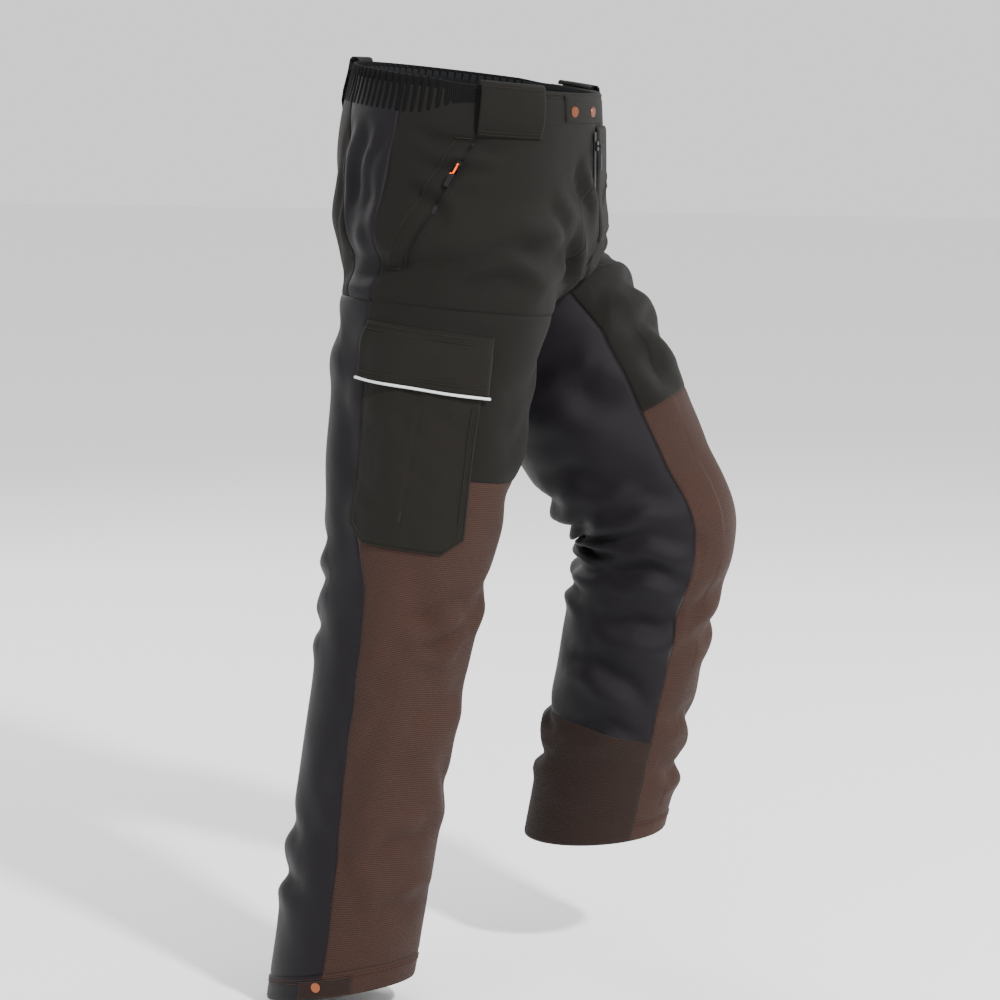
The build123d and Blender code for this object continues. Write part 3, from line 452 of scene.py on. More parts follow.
def sheet_mesh(name, points, thick=0.0, wrap=False, flip=False):
    """A grid of points as one surface of quads, with a UV map in metres along its rows and columns,
    smooth shading and, if thick, a wall of that thickness on its inner side."""
    rows, columns = points.shape[:2]
    index = np.arange(rows * columns).reshape(rows, columns)
    if wrap:
        index = np.concatenate([index, index[:, :1]], 1)

    def quads_of(index):
        quad = np.stack([index[:-1, :-1], index[1:, :-1], index[1:, 1:], index[:-1, 1:]], -1).reshape(-1, 4)
        return quad[:, ::-1] if flip else quad

    quad = quads_of(index)
    step_u = np.linalg.norm(np.diff(points, axis=1), axis=-1).mean(0)
    step_v = np.linalg.norm(np.diff(points, axis=0), axis=-1).mean(1)
    u = np.concatenate([[0], np.cumsum(step_u)])
    v = np.concatenate([[0], np.cumsum(step_v)])
    if wrap:
        u = np.concatenate([u, [u[-1] + step_u.mean()]])
    piece = new_mesh(name, points, quad)
    mesh = piece.data
    uv = np.stack(np.meshgrid(u, v), -1)
    grid = np.arange(uv.shape[0] * uv.shape[1]).reshape(uv.shape[:2])
    mesh.uv_layers.new(name="cut")
    flat = uv.reshape(-1, 2)[quads_of(grid).reshape(-1)].astype(np.float32)
    mesh.uv_layers["cut"].data.foreach_set("uv", flat.reshape(-1))
    mesh.polygons.foreach_set("use_smooth", np.ones(len(quad), bool))
    mesh.update()
    if thick:
        wall = piece.modifiers.new("thickness", "SOLIDIFY")
        wall.thickness, wall.offset, wall.use_even_offset = thick, -1, False
    return piece


class Value:
    """A socket that arithmetic can be written with; every operator adds a Math node to its tree."""

    def __init__(self, tree, socket):
        self.tree, self.socket = tree, socket

    def node(self, kind, settings=None, out=0, **inputs):
        """A node of a type, its settings set first, then its inputs by name (_ for a space) or by number (i0, i1)."""
        made = self.tree.nodes.new(kind)
        for key, value in (settings or {}).items():
            setattr(made, key, value)
        for key, value in inputs.items():
            put = made.inputs[int(key[1:])] if key[1:].isdigit() else made.inputs[key.replace("_", " ")]
            if isinstance(value, Value):
                self.tree.links.new(value.socket, put)
            else:
                put.default_value = value
        return Value(self.tree, made.outputs[out])

    def math(self, operation, *others):
        return self.node("ShaderNodeMath", {"operation": operation}, i0=self,
                         **{"i%d" % (k + 1): other for k, other in enumerate(others)})

    def __add__(self, other): return self.math("ADD", other)
    def __radd__(self, other): return self.math("ADD", other)
    def __sub__(self, other): return self.math("SUBTRACT", other)
    def __rsub__(self, other): return (self * -1.0).math("ADD", other)
    def __mul__(self, other): return self.math("MULTIPLY", other)
    def __rmul__(self, other): return self.math("MULTIPLY", other)
    def __pow__(self, other): return self.math("POWER", other)


def colour(red, green, blue):
    """Linear colour of an sRGB colour given in 0 to 255."""
    value = np.array([red, green, blue]) / 255
    return tuple(np.where(value <= .04045, value / 12.92, ((value + .055) / 1.055) ** 2.4)) + (1,)


CLOUDINESS = .35


def finish_of(name, dark, light, roughness, weave, depth_of_weave, sheen=.0, metallic=.0):
    """A finish: two sRGB shades mixed by soft noise and by its weave, whose relief feeds the Bump node.
    weave takes (u, v) in metres as Values and gives a height from 0 to 1."""
    made = bpy.data.materials.new(name)
    made.use_nodes = True
    tree = made.node_tree
    shader = tree.nodes["Principled BSDF"]
    start = Value(tree, None)
    place_in = start.node("ShaderNodeTexCoord", out=3)
    u = start.node("ShaderNodeSeparateXYZ", i0=start.node("ShaderNodeUVMap", {"uv_map": "cut"}))
    v = Value(tree, u.socket.node.outputs[1])
    cloudy = start.node("ShaderNodeTexNoise", Vector=place_in, Scale=9.0, Detail=5.0, Roughness=.6)
    fine = start.node("ShaderNodeTexNoise", Vector=place_in, Scale=900.0, Detail=2.0, Roughness=.6)
    relief = weave(start, u, v)
    mask = (cloudy * CLOUDINESS + fine * (.5 - CLOUDINESS / 2) + relief * .5).math("MULTIPLY", 1.0)
    mask.socket.node.use_clamp = True
    shade = start.node("ShaderNodeMix", {"data_type": "RGBA"}, out=2, Factor=mask, i6=colour(*dark), i7=colour(*light))
    tree.links.new(shade.socket, shader.inputs["Base Color"])
    rough = (cloudy - .5) * .18 + roughness
    tree.links.new(rough.socket, shader.inputs["Roughness"])
    bump = start.node("ShaderNodeBump", {}, Height=relief + fine * .35, Distance=depth_of_weave, Strength=.9)
    tree.links.new(bump.socket, shader.inputs["Normal"])
    shader.inputs["Metallic"].default_value = metallic
    shader.inputs["Sheen Weight"].default_value = sheen
    shader.inputs["Sheen Roughness"].default_value = .35
    shader.inputs["Specular IOR Level"].default_value = .14 if metallic == 0 else .5
    return made


def twill(start, u, v):
    """Slanting twill ribs 1.1 mm apart, broken by the weft."""
    rib = ((u + v) * (2 * np.pi / .0011)).math("SINE") * .5 + .5
    weft = ((u - v * 1.7) * (2 * np.pi / .0016)).math("SINE") * .25 + .5
    return rib * weft


def crosswise_rib(start, u, v):
    """Heavy ribs across the leg 2.3 mm apart, each made of short stitches."""
    rib = (v * (2 * np.pi / .0023)).math("SINE") * .5 + .5
    cell = (u * (2 * np.pi / .0027) + v * 900.0).math("SINE") * .22 + .78
    return rib * cell


def jersey(start, u, v):
    """The fine smooth face of a stretch cloth."""
    return ((u * (2 * np.pi / .0007)).math("SINE") * (v * (2 * np.pi / .0007)).math("SINE")) * .5 + .5


def upright_rib(start, u, v):
    """Covered rubber threads: upright ribs 2.4 mm apart."""
    return ((u * (2 * np.pi / .0024)).math("SINE") * .5 + .5) ** .6


def mesh_knit(start, u, v):
    """An open net of 2 mm cells."""
    return ((u * (2 * np.pi / .002)).math("SINE") * (v * (2 * np.pi / .002)).math("SINE")).math("ABSOLUTE")


def plain(start, u, v):
    """No weave: a moulded or polished surface with faint scratches."""
    place_in = start.node("ShaderNodeTexCoord", out=3)
    return start.node("ShaderNodeTexNoise", Vector=place_in, Scale=260.0, Detail=4.0, Roughness=.7)


OLIVE = finish_of("olive_cloth", (7, 6, 5), (28, 25, 21), .74, twill, .00045, sheen=.03)
POCKET_OLIVE = finish_of("pocket_cloth", (8, 7, 6), (31, 28, 23), .72, twill, .00045, sheen=.03)
GREY = finish_of("grey_stretch_cloth", (5, 4, 6), (20, 16, 21), .52, jersey, .00012, sheen=.05)
BROWN = finish_of("brown_abrasion_cloth", (24, 16, 13), (66, 46, 39), .82, crosswise_rib, .0008, sheen=.05)
DARK_BROWN = finish_of("ankle_cloth", (17, 12, 10), (47, 34, 29), .82, crosswise_rib, .0008, sheen=.05)
ELASTIC = finish_of("black_elastic", (2, 2, 2), (9, 9, 10), .9, upright_rib, .0007)
LINING = finish_of("mesh_lining", (8, 8, 9), (30, 31, 33), .9, mesh_knit, .0004)
PADDING = finish_of("saw_protection", (196, 192, 178), (228, 226, 214), .9, jersey, .0006)
PIPING = finish_of("reflective_piping", (176, 178, 180), (232, 234, 236), .38, jersey, .0002, metallic=.15)
THREAD = finish_of("olive_thread", (22, 21, 17), (46, 43, 35), .6, plain, .0001)
BROWN_THREAD = finish_of("brown_thread", (38, 24, 20), (74, 50, 42), .6, plain, .0001)
COPPER = finish_of("copper_press_stud", (96, 54, 38), (160, 98, 70), .34, plain, .00006, metallic=1)
BLACK_METAL = finish_of("black_zip_metal", (18, 18, 19), (38, 38, 40), .38, plain, .00006, metallic=.8)
TEETH = finish_of("zip_teeth", (20, 20, 21), (44, 44, 46), .5, plain, .0001)
TAPE = finish_of("hook_and_loop", (20, 20, 20), (46, 45, 44), .9, plain, .0006, sheen=.3)


def dress(piece, finish, slot, *nodes, body=None):
    """Gives a piece its finish, lets it stand for the CAD nodes, and rides it on a body; the slot is not used."""
    piece.data.materials.append(finish)
    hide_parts(*nodes)
    if body:
        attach(piece, body)


CLOTH_THICKNESS = .0014
ROW_RUN, COLUMN_RUN = .0076, .0068  # metres from one row or column to the next, about


def patch(name, side, row_from, row_to, column_from, column_to, lift=0.0, seam=.0009, edges="1111"):
    """A panel of the shell between two rows and two columns, its edges sunk into the seam.
    The lift falls by seam * exp(-(distance / 3 mm)^2) at each edge named 1: top, bottom, first and last column."""
    rows = np.linspace(row_from, row_to, int(round(abs(row_to - row_from) * FINER)) + 1)
    columns = np.linspace(column_from, column_to, int(round(abs(column_to - column_from) * FINER)) + 1)
    r, c = np.meshgrid(rows, columns, indexing="ij")
    near = [(r - row_from) * ROW_RUN, (row_to - r) * ROW_RUN,
            (c - column_from) * COLUMN_RUN, (column_to - c) * COLUMN_RUN]
    sunk = sum(seam * np.exp(-(d / .003) ** 2) for d, edge in zip(near, edges) if edge == "1")
    return sheet_mesh(name, skin(side, r, c, lift - sunk), thick=CLOTH_THICKNESS, flip=side > 0)


def sewn(surface, *where, lift=.0003, pitch=.0036, finish=THREAD, slot="olive_cloth", long=.0026, wide=.0009,
         high=.0006):
    """Machine stitches along a line of a surface, which is a function of a place and a lift: each a small
    bridge of thread, its two ends in the cloth and its middle raised, at equal steps of the line's length."""
    line = surface(*where, lift)
    up = (surface(*where, lift + .01) - line) / .01
    step = np.linalg.norm(np.diff(line, axis=0), axis=1)
    run = np.concatenate([[0], np.cumsum(step)])
    at = np.arange(pitch / 2, run[-1], pitch)

    def along(values, where):
        return np.stack([np.interp(where, run, values[:, k]) for k in range(3)], -1)

    middle, normal = along(line, at), along(up, at)
    ahead = along(line, np.minimum(at + .0004, run[-1])) - along(line, at - .0004)
    ahead /= np.linalg.norm(ahead, axis=1, keepdims=True)
    aside = np.cross(normal, ahead)
    aside /= np.linalg.norm(aside, axis=1, keepdims=True)
    corners = []
    for forward, rise in ((-.5, -.5), (-.28, 1), (.28, 1), (.5, -.5)):
        for left, bottom in ((-1, 0), (1, 0), (.6, 1), (-.6, 1)):
            height = rise * high * bottom + (bottom - 1) * .0004
            corners.append(middle + ahead * forward * long + aside * left * wide / 2 + normal * height)
    points = np.stack(corners, 1)
    faces = []
    for section in range(3):
        for k in range(4):
            a, b = section * 4 + k, section * 4 + (k + 1) % 4
            faces.append((a, b, b + 4, a + 4))
    faces = np.array(faces + [(3, 2, 1, 0), (12, 13, 14, 15)])
    every = (faces[None] + 16 * np.arange(len(at))[:, None, None]).reshape(-1, 4)
    piece = new_mesh("thread", points, every)
    piece.data.materials.append(finish)
    return piece


BROWN_SEWN = {"pitch": .0038, "finish": BROWN_THREAD, "slot": "brown_abrasion_cloth"}


def join(name, parts):
    """Several pieces of one finish as one piece."""
    bpy.ops.object.select_all(action="DESELECT")
    for part in parts:
        part.select_set(True)
    bpy.context.view_layer.objects.active = parts[0]
    bpy.ops.object.join()
    parts[0].name = name
    return parts[0]


NAMES = {-1: "right", 1: "left"}
FRONT, SIDE_SEAM, SEAT_SEAM, BACK, INNER, ALL = COLUMNS.values()

# ---------------------------------------------------------------- legs: the outer cloth
# Four cloths sewn edge to edge round each leg: olive over the front of the thigh, brown abrasion cloth
# below it, grey stretch cloth down the whole back, and a brown patch inside the ankle.
for side, name in NAMES.items():
    front = patch(name + "_thigh_front", side, ROWS["yoke"], ROWS["brown"], INNER - ALL, SIDE_SEAM)
    dress(front, OLIVE, "olive_cloth", name + "_thigh_front_panel", body="trousers")
    brown = patch(name + "_brown_front", side, ROWS["brown"], ROWS["hem_seam"], INNER - ALL, SIDE_SEAM)
    dress(brown, BROWN, "brown_abrasion_cloth", name + "_thigh_abrasion_panel", name + "_shin_abrasion_panel",
          name + "_knee_cloth")
    across_knee(brown, side)
    grey = patch(name + "_grey_back", side, ROWS["yoke"], ROWS["hem_seam"], SIDE_SEAM, INNER)
    dress(grey, GREY, "grey_stretch_cloth", name + "_thigh_back_panel", name + "_shin_back_panel")
    across_knee(grey, side)
    shin = name + "_shin"
    ankle = patch(name + "_ankle_cloth", side, ROWS["patch"], ROWS["hem"] - .2, SEAT_SEAM + 15, INNER + .6, lift=.0016,
                  seam=.0014)
    dress(ankle, DARK_BROWN, "brown_abrasion_cloth", name + "_ankle_patch", body=shin)

    # hem: the same cloths turned up in a band, brown in front and grey behind
    rows = np.array([-5.2, -4.9, -4.4, -3, -1.5, -.4, 0, 0, -.3]) + ROWS["hem"]
    proud = np.array([-.0002, .0010, .0014, .0016, .0016, .0014, .0006, -.0018, -.0024])
    for part, first, last, finish, slot in (("front", INNER - ALL, SIDE_SEAM, BROWN, "brown_abrasion_cloth"),
                                            ("back", SIDE_SEAM, INNER, GREY, "grey_stretch_cloth")):
        columns = np.linspace(first, last, (last - first) * FINER + 1)
        points = skin(side, rows[:, None], columns[None], proud[:, None])
        band = sheet_mesh(name + "_hem_" + part, points, flip=side > 0)
        dress(band, finish, slot, name + "_hem", body=shin)

    # seams: two rows of thread beside each seam
    every = []
    across = np.linspace(INNER - ALL, SIDE_SEAM, 220)
    for row in (ROWS["yoke"] - 1.0, ROWS["yoke"] - .55, ROWS["yoke"] + .4, ROWS["yoke"] + .95, ROWS["brown"] - .35):
        every.append(sewn(skin, side, row, across))
    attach(join(name + "_yoke_stitching", every), "trousers")
    down = np.linspace(ROWS["brown"] + .5, ROWS["hem_seam"], 320)
    long_seams = [sewn(skin, side, down, column, **BROWN_SEWN) for column in (SIDE_SEAM - .45, INNER - ALL + .45)]
    across_knee(join(name + "_side_stitching", long_seams), side)
    round_hem = np.linspace(0, ALL, 400)
    hem_seams = [sewn(skin, side, ROWS["hem"] + row, round_hem, lift=.0019, **BROWN_SEWN) for row in (-4.3, -3.6)]
    top = np.linspace(SEAT_SEAM + 15.3, INNER, 90)
    hem_seams += [sewn(skin, side, ROWS["patch"] + row, top, lift=.0016, **BROWN_SEWN) for row in (.4, 1.1)]
    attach(join(name + "_hem_stitching", hem_seams), shin)

    # inside: a quilted saw-protection pad over the front, and the mesh lining hung in the whole leg
    for part, first, last, body in (("thigh", ROWS["yoke"] + 4, ROWS["brown"] + 10, "trousers"),
                                    ("shin", ROWS["brown"] + 11, ROWS["hem_seam"] - 2, None)):
        across = np.arange(INNER - ALL + 1, SIDE_SEAM - 1.9, .5)
        r, c = np.meshgrid(np.arange(first, last + .1, .5), across, indexing="ij")
        quilt = .0008 * np.abs(np.sin(r * .55)) * np.abs(np.sin(c * .7))
        edge = smooth(np.minimum.reduce([r - first, last - r, c - c[0, 0], c[0, -1] - c]) / 1.2)
        outer, inner = skin(side, r, c, -.0056 + (.0028 + quilt) * edge), skin(side, r, c, -.0056 - .0030 * edge)
        pad = sheet_mesh(name + "_" + part + "_padding", outer, flip=side > 0)
        back_wall = sheet_mesh("wall", inner, flip=side < 0)
        join(name + "_" + part + "_padding", [pad, back_wall])
        weld = pad.modifiers.new("edge", "WELD")
        weld.merge_threshold = .0002
        dress(pad, PADDING, "saw_protection", name + "_" + part + "_saw_pad")
        across_knee(pad, side)
    r, c = np.meshgrid(np.arange(ROWS["yoke"], ROWS["hem"] - .4, 1.0), np.arange(0, ALL, 1.0), indexing="ij")
    sunk = -.0100 + .0070 * smooth((r - ROWS["hem_seam"] + 8) / 8)
    net = sheet_mesh(name + "_leg_lining", skin(side, r, c, sunk), thick=.0006, wrap=True, flip=side > 0)
    dress(net, LINING, "mesh_lining", *([name + "_shin_lining"] + (["hip_and_thigh_lining"] if side > 0 else [])))
    across_knee(net, side)

# ---------------------------------------------------------------- hips
# Olive fronts meet under the fly; a strip of grey stretch cloth lies over each hip bone and the olive seat
# closes the back. All are sewn to the legs along the yoke.
for side, name in NAMES.items():
    front = patch(name + "_hip_front", side, 1, ROWS["yoke"], FRONT, SIDE_SEAM, edges="0101")
    inner_front = patch(name + "_fork_front", side, 0, ROWS["yoke"], INNER, ALL, edges="1110")
    dress(front, OLIVE, "olive_cloth", name + "_hip_front_panel")
    dress(inner_front, OLIVE, "olive_cloth")
    strip = patch(name + "_hip_side", side, 1, ROWS["yoke"], SIDE_SEAM, SEAT_SEAM, edges="0111")
    dress(strip, GREY, "grey_stretch_cloth", name + "_hip_side_panel")
    seat = patch(name + "_seat", side, 1, ROWS["yoke"], SEAT_SEAM, BACK, edges="0110")
    seat_fork = patch(name + "_fork_back", side, 0, ROWS["yoke"], BACK, INNER, edges="1101")
    dress(seat, OLIVE, "seat_cloth", "seat_panel")
    dress(seat_fork, OLIVE, "seat_cloth")
    r, c = np.meshgrid(np.arange(0, ROWS["yoke"] + .1, 1.0), np.arange(0, ALL, 1.0), indexing="ij")
    net = sheet_mesh(name + "_hip_lining", skin(side, r, c, -.0040 - .006 * smooth((r - 6) / 14)), thick=.0006,
                     wrap=True, flip=side > 0)
    dress(net, LINING, "mesh_lining", "hip_and_thigh_lining")
    for piece in (front, inner_front, strip, seat, seat_fork, net):
        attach(piece, "trousers")
    down = np.linspace(5.5, ROWS["yoke"] - .5, 90)
    lines = [sewn(skin, side, down, column) for column in (SIDE_SEAM - .4, SIDE_SEAM - 1.2, SEAT_SEAM + .5)]
    way = np.linspace(BACK + .5, ALL - 8, 150)
    lines.append(sewn(skin, side, .5, way))
    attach(join(name + "_hip_stitching", lines), "trousers")


def torso(turn_at, depth, lift):
    """A point on the torso at a turn in degrees and a depth below the tilted waist, raised by lift."""
    turn_at, depth, lift = np.broadcast_arrays(turn_at, depth, lift)
    turn_at = np.radians(turn_at)
    inside = np.clip(depth, -.02, .28)
    a, b, c = (spline(TORSO, inside, k) for k in (1, 2, 3))
    x, y = (a + lift) * np.sin(turn_at), c - (b + lift) * np.cos(turn_at)
    level = (depth - y * np.tan(WAIST_TILT)) / (1 - y * np.tan(WAIST_TILT) / .205)
    return np.stack([x, y, -level], -1)


def belt_piece(name, turn_from, turn_to, profile, steps, thick=0.0):
    """A strip round the torso: a profile of (depth, lift) pairs carried from one turn to another."""
    turns = np.linspace(turn_from, turn_to, steps)
    depth, lift = np.array(profile).T
    return sheet_mesh(name, torso(turns[None], depth[:, None], lift[:, None]), thick=thick, flip=True)


# ---------------------------------------------------------------- waistband
# An olive band in front, sewn to wide black elastic that gathers the back. Both are 40 mm deep; the
# elastic narrows forwards into the hip along a curved edge.
BAND = [(.0405, -.0040), (.0415, -.0010), (.0405, .0004), (.0380, .0008), (.0200, .0010), (.0030, .0008),
        (.0000, .0002), (-.0008, -.0004), (.0000, -.0022), (.0030, -.0030), (.0380, -.0034)]
FRONT_END = 72
band = belt_piece("front_waistband", -FRONT_END, FRONT_END, BAND, 140)
dress(band, OLIVE, "olive_cloth", "waistband_front", body="trousers")
turns = np.linspace(FRONT_END - 2, 360 - FRONT_END + 2, 520)
away = np.minimum(turns - FRONT_END, 360 - FRONT_END - turns)
gather = .0009 * np.sin(np.radians(turns) * 95) * smooth((away - 6) / 14)
depth, lift = np.array(BAND).T
narrow = 1 - .45 * (1 - smooth(away / 26))
points = torso(turns[None], depth[:, None] * narrow[None] - .002 * smooth((away - 4) / 16)[None],
               lift[:, None] + (gather + .0006)[None] * np.sign(lift)[:, None])
elastic = sheet_mesh("elastic_waist", points, flip=True)
dress(elastic, ELASTIC, "elastic", "elastic_waistband", body="trousers")
lines = []
for level in (.0030, .0372):
    turns = np.linspace(-FRONT_END + 1, FRONT_END - 1, 300)
    lines.append(sewn(torso, turns, level, lift=.0010))
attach(join("waistband_stitching", lines), "trousers")

# ---------------------------------------------------------------- belt loops
# Wide doubled straps of olive cloth over the band, folded over its top and double-stitched at the foot:
# two in front and a narrower one at the back.
LOOPS = {"right_belt_loop": (-68, -40), "left_belt_loop": (40, 68), "back_belt_loop": (171.5, 188.5)}
LOOP = [(.0590, .0004), (.0592, .0028), (.0560, .0046), (.0500, .0066), (.0420, .0096), (.0300, .0112),
        (.0100, .0114), (-.0040, .0106), (-.0068, .0080), (-.0072, .0040), (-.0060, .0006), (-.0020, -.0010)]
for name, (start, end) in LOOPS.items():
    strap = belt_piece(name, start, end, LOOP, 30, thick=.0018)
    dress(strap, OLIVE, "olive_cloth", "belt_loops", body="trousers")
    lines = []
    for level, raised in ((.0565, .0046), (.0525, .0060), (-.0010, .0110)):
        turns = np.linspace(start + 1, end - 1, 60)
        lines.append(sewn(torso, turns, level, lift=raised))
    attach(join(name + "_stitching", lines), "trousers")

# ---------------------------------------------------------------- front closure
# A tab on the waistband closes with two copper press studs; below it a curved flap of the same olive
# cloth covers the fly zip.
def front_patch(name, left, right, top, bottom, lift, thick, curve=0.0):
    """A cloth on the front of the torso between two places across and two depths, its lower left corner rounded."""
    t = np.linspace(0, 1, 60)
    s = np.linspace(0, 1, 40)
    low = bottom - curve * (1 - np.sqrt(np.clip(1 - s**2, 0, 1)))
    depth = top + (low[None] - top) * t[:, None]
    across = left + (right - left) * s[None] + 0 * depth
    half = spline(TORSO, np.clip(depth, 0, .28), 1)
    turn_at = np.degrees(np.arcsin(across / half))
    wide = abs(right - left) + 0 * depth
    edge = np.minimum.reduce([t[:, None] * (bottom - top) + 0 * depth, low[None] - depth, s * wide, (1 - s) * wide])
    points = torso(turn_at, depth, lift * (1 - .5 * np.exp(-(edge / .002) ** 2)))
    return sheet_mesh(name, points, thick=thick, flip=right > left)


tab = front_patch("waist_tab_cloth", .0225, -.076, .003, .037, .0020, .0009)
dress(tab, OLIVE, "olive_cloth", "waist_tab", body="waist_tab")
fly = front_patch("fly_flap_cloth", -.007, .040, .042, .188, .0034, .0024, curve=.045)
dress(fly, OLIVE, "olive_cloth", "fly_flap", body="trousers")

# ---------------------------------------------------------------- cargo pockets
# A flat olive pocket on the outside of each thigh, with cut-off lower corners and a pleat down its middle,
# under a flap with reflective piping along its lower edge. The flap lifts.
POCKET_TOP, POCKET_FOOT, POCKET_FRONT, POCKET_BACK, CORNER = .306, .548, -.084, .052, .022
FLAP_TOP, FLAP_FOOT, FLAP_FRONT, FLAP_BACK = .288, .356, -.088, .062


def on_thigh(side, back, depth, lift):
    """A point on the outside of a thigh, given how far back it is from the leg's axis, its depth and its lift."""
    half = spline(LEG, depth, 2)
    turn_at = np.degrees(np.arccos(np.clip(-back / half, -1, 1)))
    return skin(side, *place(turn_at, depth), lift)


for side, name in NAMES.items():
    s = np.linspace(POCKET_FRONT, POCKET_BACK, 70)
    t = np.linspace(0, 1, 120)
    foot = POCKET_FOOT - np.maximum(CORNER - (s - POCKET_FRONT), 0) - np.maximum(CORNER - (POCKET_BACK - s), 0)
    depth = POCKET_TOP + (foot[None] - POCKET_TOP) * t[:, None]
    back = s[None] + 0 * depth
    edge = np.minimum.reduce([depth - POCKET_TOP + .002, foot[None] - depth, back - POCKET_FRONT, POCKET_BACK - back])
    pleat = POCKET_FRONT + .066 + (depth - .39) * .04
    fold = .0016 * np.tanh((back - pleat) / .0012) * smooth((depth - .37) / .02) * smooth((.520 - depth) / .015)
    across = np.clip((back - POCKET_FRONT) / (POCKET_BACK - POCKET_FRONT), 0, 1)
    sag = .0030 * np.sin(np.pi * across) * smooth(t[:, None] * 3)
    wrinkle = .0008 * np.sin(back * 160 + depth * 70) * np.sin(depth * 90 - back * 40)
    lift = .0004 + .0032 * (1 - np.exp(-(edge / .0016) ** 2)) + (fold + sag + wrinkle) * smooth(edge / .012)
    body = on_thigh(side, back, depth, lift)
    pocket = sheet_mesh(name + "_cargo_pocket_cloth", body, flip=side < 0)
    dress(pocket, POCKET_OLIVE, "olive_cloth", name + "_cargo_pocket")
    across_knee(pocket, side)
    lines = []
    for inset in (.0030, .0085):
        corner = CORNER * .6
        route = np.array([(POCKET_FRONT + inset, .37), (POCKET_FRONT + inset, POCKET_FOOT - CORNER - inset * .3),
                          (POCKET_FRONT + CORNER + inset * .3, POCKET_FOOT - inset),
                          (POCKET_BACK - CORNER - inset * .3, POCKET_FOOT - inset),
                          (POCKET_BACK - inset, POCKET_FOOT - CORNER - inset * .3), (POCKET_BACK - inset, .37)])
        many = np.concatenate([np.linspace(a, b, 40) for a, b in zip(route, route[1:])])
        lines.append(sewn(on_thigh, side, *many.T, lift=.0046))
    bar = np.array([(POCKET_FRONT + .066 + .0045, .500), (POCKET_FRONT + .066 + .0055, .512)])
    many = np.linspace(*bar, 20)
    for shift in (-.0012, 0, .0012):
        lines.append(sewn(on_thigh, side, many[:, 0] + shift, many[:, 1], lift=.0072, pitch=.0016, wide=.0012))
    across_knee(join(name + "_pocket_stitching", lines), side)

    s = np.linspace(FLAP_FRONT, FLAP_BACK, 76)
    t = np.linspace(0, 1, 44)
    depth = FLAP_TOP + (FLAP_FOOT - FLAP_TOP) * t[:, None] + 0 * s
    back = s[None] + 0 * depth
    edge = np.minimum.reduce([depth - FLAP_TOP, FLAP_FOOT - depth, back - FLAP_FRONT, FLAP_BACK - back])
    bulge = .0016 * np.sin(np.pi * t[:, None]) * np.sin(back * 60 + 1)
    rise = .0016 + .0060 * smooth((depth - FLAP_TOP) / .026)
    lift = rise + .0018 * (1 - np.exp(-(edge / .0016) ** 2)) + bulge * smooth(edge / .01)
    flap = sheet_mesh(name + "_cargo_flap_cloth", on_thigh(side, back, depth, lift), thick=.0022, flip=side < 0)
    dress(flap, POCKET_OLIVE, "olive_cloth", name + "_cargo_flap", body=name + "_cargo_flap")
    lines = []
    for end, level in ((.003, FLAP_TOP + .004), (.003, FLAP_TOP + .010), (.004, FLAP_FOOT - .009)):
        back = np.linspace(FLAP_FRONT + end, FLAP_BACK - end, 90)
        rise = .0034 + .0060 * smooth((level - FLAP_TOP) / .026) + .0003
        lines.append(sewn(on_thigh, side, back, level + 0 * back, lift=rise))
    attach(join(name + "_flap_stitching", lines), name + "_cargo_flap")
    s = np.linspace(FLAP_FRONT - .001, FLAP_BACK + .001, 90)
    ring = np.radians(np.arange(0, 360, 30))
    r = .0017
    tube = np.stack([on_thigh(side, s, FLAP_FOOT + .0012 + r * np.sin(a), .0086 + r * np.cos(a)) for a in ring], 1)
    piping = sheet_mesh(name + "_flap_reflective_piping", tube, wrap=True, flip=side < 0)
    dress(piping, PIPING, "reflective_piping", name + "_flap_piping", body=name + "_cargo_flap")

# ---------------------------------------------------------------- hem tabs
# A short strap of brown cloth on the outside of each hem, sewn at its back end and held by a copper
# press stud, to draw the hem in over a boot.
for side, name in NAMES.items():
    s = np.linspace(66, 108, 40)
    t = np.linspace(.4, 4.0, 16)
    r, a = np.meshgrid(t, s, indexing="ij")
    row, column = place(a, HEM_SEAM + 0 * a)
    edge = np.minimum.reduce([r - .4, 4.0 - r, (a - 66) / 5, (108 - a) / 5])
    strap = sheet_mesh(name + "_hem_strap", skin(side, ROWS["hem"] - r, column, .0030 + .0014 * smooth(edge / .4)),
                       thick=.0020, flip=side > 0)
    dress(strap, DARK_BROWN, "brown_abrasion_cloth", name + "_hem_tab", body=name + "_hem_tab")

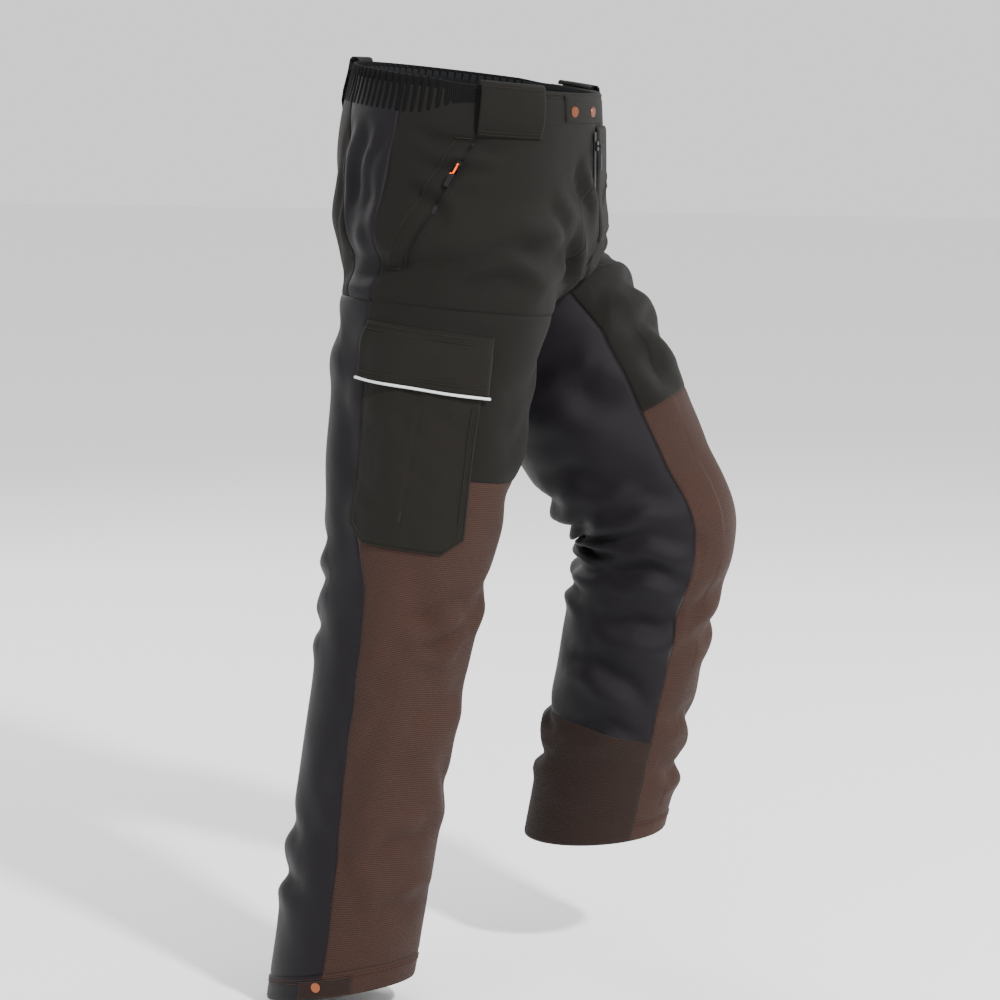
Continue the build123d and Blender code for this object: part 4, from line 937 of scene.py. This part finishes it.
# ---------------------------------------------------------------- hand pockets
# A slanting zip in each hip, 174 mm long, with black tape and teeth and a folded welt of olive cloth
# along its back edge, sewn down and barred at both ends.
POCKET_MOUTH, POCKET_END, MOUTH_OUT, END_OUT, BOW = (-.052, -.064), (.027, -.215), .162, .191, .009
for side, name in NAMES.items():
    t = np.linspace(0, 1, 60)
    way = np.stack([side * (MOUTH_OUT + (END_OUT - MOUTH_OUT) * t + BOW * 4 * t * (1 - t)),
                    POCKET_MOUTH[0] + (POCKET_END[0] - POCKET_MOUTH[0]) * t,
                    POCKET_MOUTH[1] + (POCKET_END[1] - POCKET_MOUTH[1]) * t], -1)
    near = skins[side][:ROWS["yoke"] * FINER, :SIDE_SEAM * FINER]
    gap = np.linalg.norm(way[:, None, None] - near[None], axis=-1).reshape(len(t), -1).argmin(1)
    row = np.polyval(np.polyfit(t, gap // near.shape[1] / FINER, 2), t)
    column = np.polyval(np.polyfit(t, gap % near.shape[1] / FINER, 2), t)
    profile = {"zip_tape": [(-.45, .0002), (-.4, .0010), (.4, .0010), (.45, .0002)],
               "welt": [(.45, .0002), (.5, .0018), (.7, .0022), (2.3, .0021), (2.5, .0016), (2.6, .0001)],
               "front_edge": [(-1.0, .0001), (-.9, .0012), (-.55, .0016), (-.45, .0002)]}
    for part, finish, slot, nodes in (("zip_tape", TEETH, "zip_teeth", ("hand_pocket_zips",)),
                                      ("welt", OLIVE, "olive_cloth", ("hand_pocket_welts",)),
                                      ("front_edge", OLIVE, "olive_cloth", ())):
        across, raised = np.array(profile[part]).T
        points = skin(side, row[:, None], column[:, None] + across[None], raised[None])
        strip = sheet_mesh(name + "_pocket_" + part, points, flip=side > 0)
        dress(strip, finish, slot, *nodes, body="trousers")
    teeth = [sewn(skin, side, row, column + shift, lift=.0012, pitch=.0022, finish=BLACK_METAL, slot="zip_teeth",
                  long=.0013, wide=.0022, high=.0009) for shift in (-.12, .12)]
    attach(join(name + "_pocket_teeth", teeth), "trousers")
    lines = [sewn(skin, side, row, column + 2.15, lift=.0021)]
    for end in (0, -1):
        cross = np.linspace(.5, 2.5, 12)
        lines.append(sewn(skin, side, row[end], column[end] + cross, lift=.0024, pitch=.0016))
    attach(join(name + "_pocket_welt_stitching", lines), "trousers")

# ---------------------------------------------------------------- zips, studs and tapes
# These keep their turned, moulded or woven shapes; each gets its own finish.
def two_part_pull(name):
    """An orange cord bead above a black moulded end, parted at a height in the pull's own box."""
    low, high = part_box(name + "_pocket_pull")
    made = finish_of(name + "_pull_cord", (10, 10, 10), (26, 26, 27), .5, plain, .0001)
    tree = made.node_tree
    start = Value(tree, None)
    spot = start.node("ShaderNodeTexCoord", out=3)
    height = start.node("ShaderNodeSeparateXYZ", out=2, i0=spot)
    upper = height.math("GREATER_THAN", low.z + (high.z - low.z) * .58)
    black = Value(tree, tree.nodes["Principled BSDF"].inputs["Base Color"].links[0].from_socket)
    shade = start.node("ShaderNodeMix", {"data_type": "RGBA"}, out=2, Factor=upper, i6=black, i7=colour(250, 92, 16))
    tree.links.new(shade.socket, tree.nodes["Principled BSDF"].inputs["Base Color"])
    return made


KEPT = {"fly_zip": TEETH, "hand_pocket_bags": LINING,
        "pocket_loop_tapes": TAPE, "waist_snap_caps": COPPER, "waist_snap_studs": COPPER,
        "fly_slider": BLACK_METAL, "fly_pull": TEETH}
for name in NAMES.values():
    KEPT.update({name + "_flap_hook_tape": TAPE, name + "_hem_snap_cap": COPPER, name + "_hem_snap_studs": COPPER,
                 name + "_pocket_slider": BLACK_METAL, name + "_pocket_pull": two_part_pull(name)})
for name, finish in KEPT.items():
    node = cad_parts[name]
    node.data.materials.clear()
    node.data.materials.append(finish)
